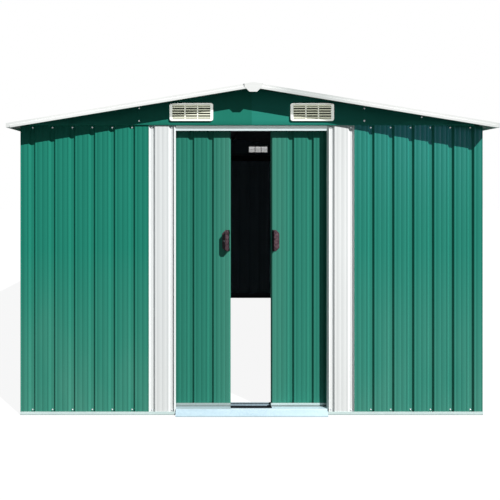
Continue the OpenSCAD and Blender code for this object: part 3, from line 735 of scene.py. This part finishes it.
# Header and frame rails: the header is a cool white channel over the doorway whose inner flange is
# the rail for the rollers. The top, mid, ridge and purlin sections behind the sheets are coated near
# black, which paints the shade inside the shed.
HEADER_WHITE = (0.535, 0.620, 0.650, 1.0)
RAIL_SHADE_COAT = (0.030, 0.032, 0.036, 1.0)
header_coat = coil_coat("header_coat", HEADER_WHITE, HEADER_WHITE, HEADER_WHITE, "X")
finish_nodes(header_coat, "door_header")
filled_pieces.objects.link(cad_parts["door_header"])
# The inner rails are coated near black as painted shade inside the shed.
finish_nodes(
    back_coat("dark_rail_coat", RAIL_SHADE_COAT),
    "top_rail_back", "side_top_rails", "mid_rails", "ridge_beam", "roof_purlins",
)


# Gables: flat green sheets, two to a side that lap over each other, with a fold along the foot
# and a hole behind each vent. They stand a little in front of the wall sheets.
GABLE_LAP_X = 0.603
GABLE_LAP = 0.0009
GABLE_TONGUE = 0.008
GABLE_FLANGE = 0.020
GABLE_FOLD = 0.003
GABLE_COLUMN = 0.045
GABLE_ROW = 0.022
VENT_X = 0.324
VENT_MIDDLE = 0.069
VENT_HOLE = (0.202, 0.078)
GABLE_SWELL = 0.0006
GABLE_WAVES = (5, 3.7, 9)
GABLE_ROUND = 0.3
GABLE_WELD = 0.00005
GABLE_PALE = (0.0230, 0.2650, 0.2000, 1.0)
INNER_FACING = 0.5


def stops(start, end, step, *fixed):
    """Rising places from start to end, about one step apart, through the fixed ones."""
    marks = sorted({start, end, *[f for f in fixed if start < f < end]})
    places = [start]
    for low, high in zip(marks, marks[1:]):
        parts = max(1, round((high - low) / step))
        places += [low + (high - low) * k / parts for k in range(1, parts + 1)]
    return places


def mesh_of(name, shape):
    """A finished shape as a mesh."""
    mesh = bpy.data.meshes.new(name)
    shape.to_mesh(mesh)
    shape.free()
    return mesh


def gable_half(name, side, to_shed, paint, coil):
    """One half of a gable, seen from outside, with x to the given side of the ridge.

    The right half has a tongue that laps behind the left one under the ridge.
    """
    low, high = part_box("gable_front_right")
    hole_x = [VENT_X - VENT_HOLE[0] / 2, VENT_X + VENT_HOLE[0] / 2]
    hole_z = [wall_top + VENT_MIDDLE - VENT_HOLE[1] / 2, wall_top + VENT_MIDDLE + VENT_HOLE[1] / 2]
    out = low.y + half_d
    columns = stops(low.x, high.x, GABLE_COLUMN, *hole_x, GABLE_LAP_X, GABLE_LAP_X + GABLE_LAP)
    if side > 0:
        columns = [-GABLE_TONGUE, -GABLE_LAP] + columns
    levels = stops(wall_top + GABLE_FOLD, ridge_under, GABLE_ROW, *hole_z)
    bend = GABLE_FOLD * GABLE_ROUND
    fold = [(GABLE_FLANGE, 0.0), (GABLE_FOLD, 0.0), (bend, bend)]
    shape = bmesh.new()
    grid = []
    for x in columns:
        roof = ridge_under - abs(x) * roof_slope
        tongue = GABLE_LAP if x < 0 else 0.0
        lap = -GABLE_LAP if x > GABLE_LAP_X + GABLE_LAP / 2 else tongue
        line = [(x, out + tongue + back, wall_top + tongue + up) for back, up in fold]
        for z in levels:
            wave = (side * x * GABLE_WAVES[0], GABLE_WAVES[1], z * GABLE_WAVES[2])
            swell = GABLE_SWELL * noise.noise(wave)
            line.append((x, out + lap + swell, min(z, roof)))
        grid.append([shape.verts.new((side * px, py, pz)) for px, py, pz in line])
    for i in range(len(columns) - 1):
        for j in range(len(grid[0]) - 1):
            middle_x = (columns[i] + columns[i + 1]) / 2
            middle_z = (grid[i][j].co.z + grid[i][j + 1].co.z) / 2
            if hole_x[0] < middle_x < hole_x[1] and hole_z[0] < middle_z < hole_z[1]:
                continue
            corners = [grid[i][j], grid[i + 1][j], grid[i + 1][j + 1], grid[i][j + 1]]
            shape.faces.new(corners if side > 0 else corners[::-1])
    bmesh.ops.remove_doubles(shape, verts=shape.verts, dist=GABLE_WELD)
    bmesh.ops.dissolve_degenerate(shape, edges=shape.edges, dist=GABLE_WELD)
    bmesh.ops.solidify(shape, geom=shape.faces[:], thickness=SHEET_T)
    for face in shape.faces:
        face.material_index = 1 if face.normal.y > INNER_FACING else 0
    mesh = mesh_of(name, shape)
    mesh.transform(to_shed)
    smooth(mesh)
    mesh.materials.append(paint)
    mesh.materials.append(pale_back)
    tone = mesh.attributes.new("coil_tone", "FLOAT", "POINT")
    for item in tone.data:
        item.value = coil
    return new_piece(name, mesh)


green_gable = coil_coat("green_gable_coat", GREEN_PALE, GABLE_PALE, GREEN_DUST, "X")
for node, side, place, paint, coil in (
    ("gable_front_left", -1, on_front, green_wall, 0.2),
    ("gable_front_right", 1, on_front, green_gable, 1.0),
    ("gable_back_left", 1, on_back, green_wall, 0.4),
    ("gable_back_right", -1, on_back, green_gable, 0.0),
):
    stands_for(gable_half(node + "_sheet", side, place, paint, coil), "shed", "green_sheet", node)


# Vents: cream mouldings clipped over the gable holes, a rounded frame with slanted louvre blades
# and two upright bars.
VENT_SIZE = (0.234, 0.096)
VENT_CORNER = 0.012
VENT_T = 0.010
BLADE_ROWS = (-0.0362, -0.0268, -0.0134, 0.0, 0.0134, 0.0268, 0.0362)
BLADE_H = 0.0062
BLADE_TILT = math.radians(13)
BAR_W = 0.006
BARS = 2
CREAM = (0.620, 0.620, 0.500, 1.0)
CREAM_PALE = (0.650, 0.650, 0.550, 1.0)
CREAM_CLOUD = (40.0, 3.0)
CREAM_ROUGH = (0.4, 0.55)
CREAM_GLOSS = 0.2
CREAM_GRAIN = (1500.0, 0.0001, 0.3)


def rounded_outline(width, height, radius, steps=6):
    """Points round a rectangle with round corners, in the plane of the gable."""
    points = []
    for corner in range(4):
        angle = corner * math.pi / 2
        sign_x = 1 if corner in (0, 3) else -1
        sign_z = 1 if corner in (0, 1) else -1
        middle = (sign_x * (width / 2 - radius), sign_z * (height / 2 - radius))
        for k in range(steps + 1):
            a = angle + k / steps * math.pi / 2
            points.append((middle[0] + radius * math.cos(a), middle[1] + radius * math.sin(a)))
    return points


def band(shape, first, second):
    """A closed band of faces between two rings of points."""
    for k in range(len(first)):
        n = (k + 1) % len(first)
        shape.faces.new((first[k], first[n], second[n], second[k]))


def vent_frame(shape, at):
    """A moulded ring: from its back edge over a rounded rim to the inner wall of the opening."""
    rim = ((VENT_SIZE[0] - VENT_HOLE[0]) / 2, (VENT_SIZE[1] - VENT_HOLE[1]) / 2)
    section = [
        (0.0, 0.0, VENT_CORNER), (0.0, -0.7, VENT_CORNER), (0.05, -0.92, VENT_CORNER),
        (0.22, -1.0, VENT_CORNER * 0.85), (0.75, -1.0, VENT_CORNER * 0.4), (0.93, -0.93, 0.003),
        (1.0, -0.75, 0.002), (1.0, 0.0, 0.002),
    ]
    rings = []
    for inset, out, radius in section:
        outline = rounded_outline(
            VENT_SIZE[0] - 2 * rim[0] * inset, VENT_SIZE[1] - 2 * rim[1] * inset, radius
        )
        rings.append([shape.verts.new(at + Vector((x, out * VENT_T, z))) for x, z in outline])
    for inner, outer in zip(rings, rings[1:] + rings[:1]):
        band(shape, inner, outer)


def vent_bar(shape, at, width, height):
    """An upright bar behind the face of the blades."""
    corners = [
        shape.verts.new(at + Vector((x * width / 2, y * VENT_T, z * height / 2)))
        for z in (-1, 1) for y in (-0.62, -0.1) for x in (-1, 1)
    ]
    for face in ((0, 1, 5, 4), (3, 2, 6, 7), (2, 0, 4, 6), (1, 3, 7, 5), (1, 0, 2, 3), (4, 5, 7, 6)):
        shape.faces.new([corners[k] for k in face])


def louvre_tree():
    """Sets one blade at every place of the base mesh."""
    tree, given = new_tree("louvre_blades", blade="Object", plastic="Material")
    blade = add_node(tree, "GeometryNodeObjectInfo", {"Object": given["blade"]})
    rows = add_node(tree, "GeometryNodeInstanceOnPoints", {
        "Points": given["Geometry"], "Instance": blade.outputs["Geometry"],
    })
    end_tree(tree, rows.outputs[0], given["plastic"])
    return tree


def louvre_blade():
    """One blade: a slanted slat with a rounded nose, hollow-backed by its tilt."""
    lean = math.tan(BLADE_TILT)
    nose = [(-0.80, -0.30), (-0.86, -0.12), (-0.86, 0.12), (-0.80, 0.30), (-0.72, 0.5)]
    section = [(-0.05, -0.5), (-0.72, -0.5)] + nose + [(-0.05, 0.5)]
    half = VENT_HOLE[0] / 2
    points = []
    for x in (-half, half):
        for y, z in section:
            points.append((x, y * VENT_T, z * BLADE_H + y * VENT_T * lean))
    n = len(section)
    sides = [(k, (k + 1) % n, (k + 1) % n + n, k + n) for k in range(n)]
    return mesh_from("louvre_blade", points, sides + [tuple(range(n))[::-1], tuple(range(n, 2 * n))])


cream = clouded("cream_plastic", CREAM, CREAM_PALE, CREAM_CLOUD, CREAM_ROUGH, CREAM_GLOSS, CREAM_GRAIN)
blade_object = new_piece("louvre_blade", louvre_blade())
blade_tree = louvre_tree()
gable_out = half_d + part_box("gable_front_right")[0].y
for node, place in (("front_vents", on_front), ("back_vents", on_back)):
    middles = [Vector((s * VENT_X, gable_out, wall_top + VENT_MIDDLE)) for s in (-1, 1)]
    rows = [m + Vector((0, 0, z)) for m in middles for z in BLADE_ROWS]
    blades = grown(
        node + "_blades", blade_tree, mesh_from(node + "_rows", rows, []), blade=blade_object, plastic=cream
    )
    moulding = bmesh.new()
    moulding.from_mesh(blades)
    for middle in middles:
        vent_frame(moulding, middle)
        for k in range(BARS):
            offset = ((k + 1) / (BARS + 1) - 0.5) * VENT_HOLE[0]
            vent_bar(moulding, middle + Vector((offset, 0, 0)), BAR_W, VENT_HOLE[1])
    bmesh.ops.recalc_face_normals(moulding, faces=moulding.faces)
    moulding.to_mesh(blades)
    moulding.free()
    blades.transform(place)
    smooth(blades)
    vents = stands_for(new_piece(node + "_moulding", blades), "shed", "vent_plastic", node)
    vent_pieces.objects.link(vents)
bpy.data.objects.remove(blade_object)


# Roof: four pressed sheets, their grooves running from the ridge to the eaves, screwed down to the
# ridge beam and the purlins. Green outside, pale grey lacquer underneath, painted near black within
# the walls as the shade inside the shed.
ROOF_BACK = (0.66, 0.67, 0.66, 1.0)
ROOF_INDOORS = (1.2445, 1.490)
RIDGE_GAP = 0.0003
RIDGE_OPEN = 0.004
FRAME_DEPTH = GROOVE_DEPTH + SHEET_T
slope_angle = math.atan(roof_slope)
ridge_plane = ridge_under + RIDGE_GAP / math.cos(slope_angle)
eave_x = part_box("roof_right_front")[1].x
slope_end = (eave_x - FRAME_DEPTH * math.sin(slope_angle)) / math.cos(slope_angle)


def roof_indoor_shade(axes):
    """Painted shade on the underside of the roof, within the walls."""
    return indoors(axes, ROOF_INDOORS)


def roof_place(side):
    """From a sheet's own frame, with its top at the ridge, to its slope of the roof."""
    lay = Matrix(((0, 0, side, 0), (-side, 0, 0, 0), (0, -1, 0, FRAME_DEPTH), (0, 0, 0, 1)))
    tilt = Matrix.Rotation(side * slope_angle, 4, "Y")
    return Matrix.Translation((0, 0, ridge_plane)) @ tilt @ lay


green_roof = coil_coat("green_roof_coat", GREEN, GREEN_PALE, GREEN_DUST, "X")
# Near black on this lacquer within the walls is painted shade, under the roof and behind the doors.
shade_painted_back = back_coat("sooty_back_coat", ROOF_BACK, roof_indoor_shade)
for node in ("roof_left_front", "roof_left_rear", "roof_right_front", "roof_right_rear"):
    low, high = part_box(node)
    side = -1 if "left" in node else 1
    ends = (low.y, high.y) if side < 0 else (-high.y, -low.y)
    sheet = pressed_sheet(
        node + "_sheet", *ends, RIDGE_OPEN, slope_end, roof_place(side), GROOVE_PITCH / 2,
        green_roof, shade_painted_back,
    )
    stands_for(sheet, "shed", "green_sheet", node)


# Roof trims: folded off-white strips, screwed over the edges of the roof sheets, with a flap at each
# end of the ridge cap and a small plate at each corner between a verge trim and an eave trim. The
# front trims are dull at the eaves and to the right of the ridge.
TRIM_WHITE = (0.890, 0.905, 0.895, 1.0)
TRIM_DULL = (0.635, 0.670, 0.660, 1.0)
DULL_START = (0.055, 0.200)
DULL_RIDGE = (0.36, 0.62)
DULL_EAVE = (1.05, 1.25)
DULL_EAVE_SHARE = 0.35
CORNER_PLATE_T = 0.0011
CORNER_GAP = 0.0001
EAVE_FLANGE = 0.045


def trim_dull(axes):
    """The dull parts of the front trims."""
    start = rescale(axes[0], 0.0, 1.0, *DULL_START)
    ridge = times(start, rescale(axes[0], 1.0, 0.0, *DULL_RIDGE))
    eave = rescale(maths("ABSOLUTE", axes[0]), 0.0, DULL_EAVE_SHARE, *DULL_EAVE)
    front = below(axes[1], 0.0)
    return times(larger(ridge, eave), front)


white_trim = coil_coat("white_trim_coat", TRIM_WHITE, TRIM_WHITE, TRIM_DULL, "X", worn=trim_dull)
finish_nodes(white_trim, "ridge_cap", "verge_trims_front", "verge_trims_back", "eave_trims")
eave_low, eave_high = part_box("eave_trims")
corner_x = (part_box("verge_trims_front")[1].x + CORNER_GAP, eave_high.x)
corner_y = -eave_low.y + CORNER_GAP
corner_inner = eave_high.x - EAVE_FLANGE


def corner_plate(shape, side, end):
    """A thin upright plate from the verge trim's end to the eave trim's drip."""
    slope = [eave_high.z - (x - corner_inner) * roof_slope for x in corner_x]
    outline = [(x, eave_low.z) for x in corner_x] + [(corner_x[1], slope[1]), (corner_x[0], slope[0])]
    rings = [
        [shape.verts.new((side * x, end * y, z)) for x, z in outline]
        for y in (corner_y, corner_y + CORNER_PLATE_T)
    ]
    band(shape, *rings)
    for ring in rings:
        shape.faces.new(ring)


corners = bmesh.new()
for side in (-1, 1):
    for end in (-1, 1):
        corner_plate(corners, side, end)
bmesh.ops.recalc_face_normals(corners, faces=corners.faces)
corner_mesh = mesh_of("corner_plates", corners)
corner_mesh.materials.append(white_trim)
stands_for(new_piece("corner_plates", corner_mesh), "shed", "white_sheet")


# Sliding doors: two leaves of green strip with folded edges, from a greyer coil than the walls and
# cleaner at the foot, with the roof's lacquer inside, painted near black there as indoor shade. Each
# hangs by two rollers from the header and runs with two shoes of its galvanised bottom rail in the
# floor track. The bottom rails are darker towards the left and carry a painted contact shadow along
# the sill.
LEAF_FOLD = 0.012
LEAF_GROOVE = 0.110
LEAF_GREEN = (0.0220, 0.1950, 0.1390, 1.0)
LEAF_PALE = (0.0260, 0.2160, 0.1560, 1.0)
LEAF_DUST = (0.0850, 0.3000, 0.2250, 1.0)
LEAF_DUST_SHARE = 0.15
HAND_WEAR = (0.45, 0.12, 0.24)
DOOR_LEFT_DARK = (0.40, 0.10)
DOOR_MIDDLE = (-0.1, 0.1)
DOOR_SILL_SHADOW = (0.55, 0.0335)


def hand_worn(axes):
    """Paler beside the meeting edges, where hands push."""
    share, near, far = HAND_WEAR
    return rescale(maths("ABSOLUTE", axes[0]), share, 0.0, near, far)


def door_rail_shadow_and_left_dark(axes):
    """Darker towards the left rail, and a painted contact shadow in a line along the sill."""
    # Darker towards the left rail, and a painted contact shadow along the sill below.
    side = rescale(axes[0], *DOOR_LEFT_DARK, *DOOR_MIDDLE)
    foot = times(below(axes[2], DOOR_SILL_SHADOW[1]), DOOR_SILL_SHADOW[0])
    return larger(side, foot)


green_leaf = coil_coat(
    "green_leaf_coat", LEAF_GREEN, LEAF_PALE, LEAF_DUST, "Z", LEAF_DUST_SHARE, hand_worn
)
leaf_zinc = galvanised_steel("leaf_rail_zinc", RAIL_DARK, RAIL_LIGHT, door_rail_shadow_and_left_dark)
for side, node, coil in (("left", "door_leaf_left", 0.0), ("right", "door_leaf_right", 1.0)):
    low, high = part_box(node)
    on_leaf = Matrix.Translation((0, low.y, 0))
    leaf_phase = low.x + LEAF_GROOVE if side == "right" else high.x - LEAF_GROOVE
    leaf = pressed_sheet(
        node + "_sheet", low.x, high.x, low.z, high.z, on_leaf, leaf_phase, green_leaf, shade_painted_back,
        rows=FRONT_ROWS, left_fold=LEAF_FOLD, right_fold=LEAF_FOLD, coil=coil,
    )
    stands_for(leaf, side + "_door", "green_sheet", node)
    finish_nodes(leaf_zinc, "door_bottom_rail_" + side, "door_hangers_" + side)


# Handles: brown moulded cup pulls with a scalloped lip, painted black along the finger edge as the
# shade in the cup's opening, and screwed to the leaves beside their meeting edges.
HANDLE_DARK = (0.045, 0.026, 0.033, 1.0)
HANDLE_WORN = (0.130, 0.080, 0.096, 1.0)
HANDLE_CLOUD = (90.0, 4.0)
HANDLE_SPREAD = (0.35, 0.65)
HANDLE_ROUGH = (0.35, 0.5)
HANDLE_GLOSS = 0.03
HANDLE_GRAIN = (1200.0, 0.0002, 0.4)
HANDLE_EDGE = 0.0012
HANDLE_FLAT = math.radians(2)
HANDLE_SHARP = math.radians(25)
HANDLE_WELD = 0.00001
# Black painted as the shade in the cup's opening along the finger edge.
GRIP_SHADE_BLACK = (0.004, 0.004, 0.005, 1.0)
GRIP_EDGE = 0.1232
GRIP_WAVE = 0.0012
GRIP_PITCH = 0.020


def grip_shade(axes):
    """Painted black shade along the finger edge, with a wavy border."""
    wave = maths("SINE", times(axes[2], math.tau / GRIP_PITCH))
    border = maths("MULTIPLY_ADD", wave, GRIP_WAVE, GRIP_EDGE)
    return below(maths("ABSOLUTE", axes[0]), border)


def eased_handle(node):
    """A copy of a handle's CAD node with its edges rounded over."""
    shape = bmesh.new()
    shape.from_mesh(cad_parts[node].data)
    bmesh.ops.remove_doubles(shape, verts=shape.verts, dist=HANDLE_WELD)
    bmesh.ops.dissolve_limit(
        shape, angle_limit=HANDLE_FLAT, verts=shape.verts, edges=shape.edges, delimit={"SHARP"}
    )
    sharp = [e for e in shape.edges if e.is_manifold and e.calc_face_angle() > HANDLE_SHARP]
    bmesh.ops.bevel(
        shape, geom=sharp, offset=HANDLE_EDGE, segments=2, profile=0.5, affect="EDGES",
        clamp_overlap=True,
    )
    mesh = mesh_of(node + "_moulding", shape)
    smooth(mesh)
    mesh.materials.append(dark_plastic)
    return new_piece(node + "_moulding", mesh)


dark_plastic = clouded(
    "dark_handle_plastic", HANDLE_DARK, HANDLE_WORN, HANDLE_CLOUD, HANDLE_ROUGH, HANDLE_GLOSS,
    HANDLE_GRAIN, HANDLE_SPREAD, grip_shade, GRIP_SHADE_BLACK,
)
for side in ("left", "right"):
    node = "door_handle_" + side
    stands_for(eased_handle(node), side + "_door", "handle_plastic", node)


# Screws: zinc-plated hex heads with a washer, driven through the grooves into the frame, along the
# gable laps and through the trims.
WASHER_R = 0.0044
WASHER_T = 0.0008
HEX_R = 0.0030
HEX_H = 0.0026
SCREW_ZINC = (0.80, 0.82, 0.84, 1.0)
SCREW_SHADE = (0.60, 0.63, 0.66, 1.0)
SCREW_CLOUD = (300.0, 2.0)
SCREW_ROUGH = (0.3, 0.5)
SCREW_GLOSS = 0.5
SCREW_METAL = 0.7
SCREW_TOP = 0.011
SCREW_FOOT = 0.0245
SCREW_MID = 0.790
FRONT_GROOVES = range(4, 12)
BACK_GROOVES = range(-11, 12)
SIDE_GROOVES = range(-13, 13)
GABLE_SCREWS = ((-0.6045, 0.090), (-0.6045, 0.023), (0.6045, 0.090), (0.6045, 0.023), (0.913, 0.044))
ROOF_SCREW_ROWS = (0.095, 0.640, 1.215)
TRIM_SCREWS = range(-12, 13, 2)
TRIM_LIFT = 0.0015
CAP_LIFT = 0.0026
CAP_SCREW = 0.036
EAVE_SCREW = 0.022
VERGE_SCREW = 0.030
VERGE_SCREWS = (0.22, 1.20, 0.245)
HANDLE_SCREW = (0.030, 0.016)
HANDLE_SIDE = (-0.970, -0.2425, 0.0)


def screw_head():
    """A washer with a hex head on it, standing on z = 0."""
    shape = bmesh.new()
    rings = []
    for sides, radius, height in (
        (12, WASHER_R, 0.0), (12, WASHER_R, WASHER_T * 0.5), (12, HEX_R * 1.15, WASHER_T),
        (6, HEX_R, WASHER_T), (6, HEX_R, WASHER_T + HEX_H * 0.85), (6, HEX_R * 0.75, WASHER_T + HEX_H),
    ):
        rings.append([
            shape.verts.new((
                radius * math.cos(k * math.tau / sides), radius * math.sin(k * math.tau / sides), height
            )) for k in range(sides)
        ])
    for first in (0, 1, 3, 4):
        band(shape, rings[first], rings[first + 1])
    for ring in (rings[0][::-1], rings[2], rings[3][::-1], rings[5]):
        shape.faces.new(ring)
    return mesh_of("screw_head", shape)


def screw_tree():
    """Drives one screw at every point of the base mesh, facing as the point's attribute says."""
    tree, given = new_tree("driven_screws", screw="Object", zinc="Material", seed="Int")
    head = add_node(tree, "GeometryNodeObjectInfo", {"Object": given["screw"]})
    facing = add_node(tree, "GeometryNodeInputNamedAttribute", {"Name": "facing"}, data_type="FLOAT_VECTOR")
    upright = add_node(tree, "FunctionNodeAlignRotationToVector", {"Vector": facing.outputs[0]}, axis="Z")
    turn = add_node(tree, "FunctionNodeRandomValue", {
        "Min": 0.0, "Max": math.tau, "Seed": given["seed"],
    }, data_type="FLOAT")
    spin = add_node(tree, "FunctionNodeAxisAngleToRotation", {"Axis": (0, 0, 1), "Angle": turn.outputs[1]})
    turned = add_node(tree, "FunctionNodeRotateRotation", {
        "Rotation": upright.outputs[0], "Rotate By": spin.outputs[0],
    }, rotation_space="LOCAL")
    heads = add_node(tree, "GeometryNodeInstanceOnPoints", {
        "Points": given["Geometry"], "Instance": head.outputs["Geometry"], "Rotation": turned.outputs[0],
    })
    end_tree(tree, heads.outputs[0], given["zinc"])
    return tree


def driven(body, name, screws, seed):
    """All the screws on one body as one piece, from (place, facing) pairs."""
    points = mesh_from(name + "_points", [place for place, facing in screws], [])
    attribute = points.attributes.new("facing", "FLOAT_VECTOR", "POINT")
    for item, (place, facing) in zip(attribute.data, screws):
        item.vector = facing
    mesh = grown(name, drive_tree, points, screw=screw_object, zinc=screw_metal, seed=seed)
    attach(new_piece(name, mesh), body)


def in_frame(to_shed, x, depth, z):
    """A screw on a sheet's own frame, as a place and a facing in the shed's frame."""
    return to_shed @ Vector((x, depth, z)), (to_shed.to_3x3() @ Vector((0, -1, 0))).normalized()


shed_screws = []
for k in FRONT_GROOVES:
    for side in (-1, 1):
        for z in (wall_top - SCREW_TOP, SCREW_FOOT):
            shed_screws.append(in_frame(on_front, side * k * GROOVE_PITCH, GROOVE_DEPTH, z))
for k in BACK_GROOVES:
    for z in (wall_top - SCREW_TOP, SCREW_FOOT):
        shed_screws.append(in_frame(on_back, k * GROOVE_PITCH, GROOVE_DEPTH, z))
for place in (on_left, on_right):
    for k in SIDE_GROOVES:
        for z in (side_top - 2 * SCREW_TOP, SCREW_MID, SCREW_FOOT):
            shed_screws.append(in_frame(place, (k + 0.5) * GROOVE_PITCH, GROOVE_DEPTH, z))
for place in (on_front, on_back):
    for x, up in GABLE_SCREWS:
        lap = GABLE_LAP if abs(x) > GABLE_LAP_X else 0.0
        shed_screws.append(in_frame(place, x, gable_out - lap, wall_top + up))
verge_line = -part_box("verge_trims_front")[0].y - VERGE_SCREW
for side in (-1, 1):
    on_slope = roof_place(side)
    for k in SIDE_GROOVES:
        for down in ROOF_SCREW_ROWS:
            shed_screws.append(in_frame(on_slope, (k + 0.5) * GROOVE_PITCH, GROOVE_DEPTH, down))
    for k in TRIM_SCREWS:
        shed_screws.append(in_frame(on_slope, k * GROOVE_PITCH, -CAP_LIFT, CAP_SCREW))
        shed_screws.append(in_frame(on_slope, k * GROOVE_PITCH, -TRIM_LIFT, slope_end - EAVE_SCREW))
    for down in stops(*VERGE_SCREWS):
        for end in (-1, 1):
            shed_screws.append(in_frame(on_slope, end * verge_line, -TRIM_LIFT, down))
drive_tree = screw_tree()
screw_metal = clouded("zinc_screw", SCREW_SHADE, SCREW_ZINC, SCREW_CLOUD, SCREW_ROUGH, SCREW_GLOSS)
screw_metal.node_tree.nodes["Principled BSDF"].inputs["Metallic"].default_value = SCREW_METAL
screw_object = new_piece("screw_head", screw_head())
driven("shed", "shed_screws", shed_screws, 1)
low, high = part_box("door_handle_left")
handle_spot = Vector((high.x - HANDLE_SCREW[0], low.y + HANDLE_SCREW[1], (low.z + high.z) / 2))
driven("left_door", "left_handle_screw", [(handle_spot, HANDLE_SIDE)], 2)
bpy.data.objects.remove(screw_object)
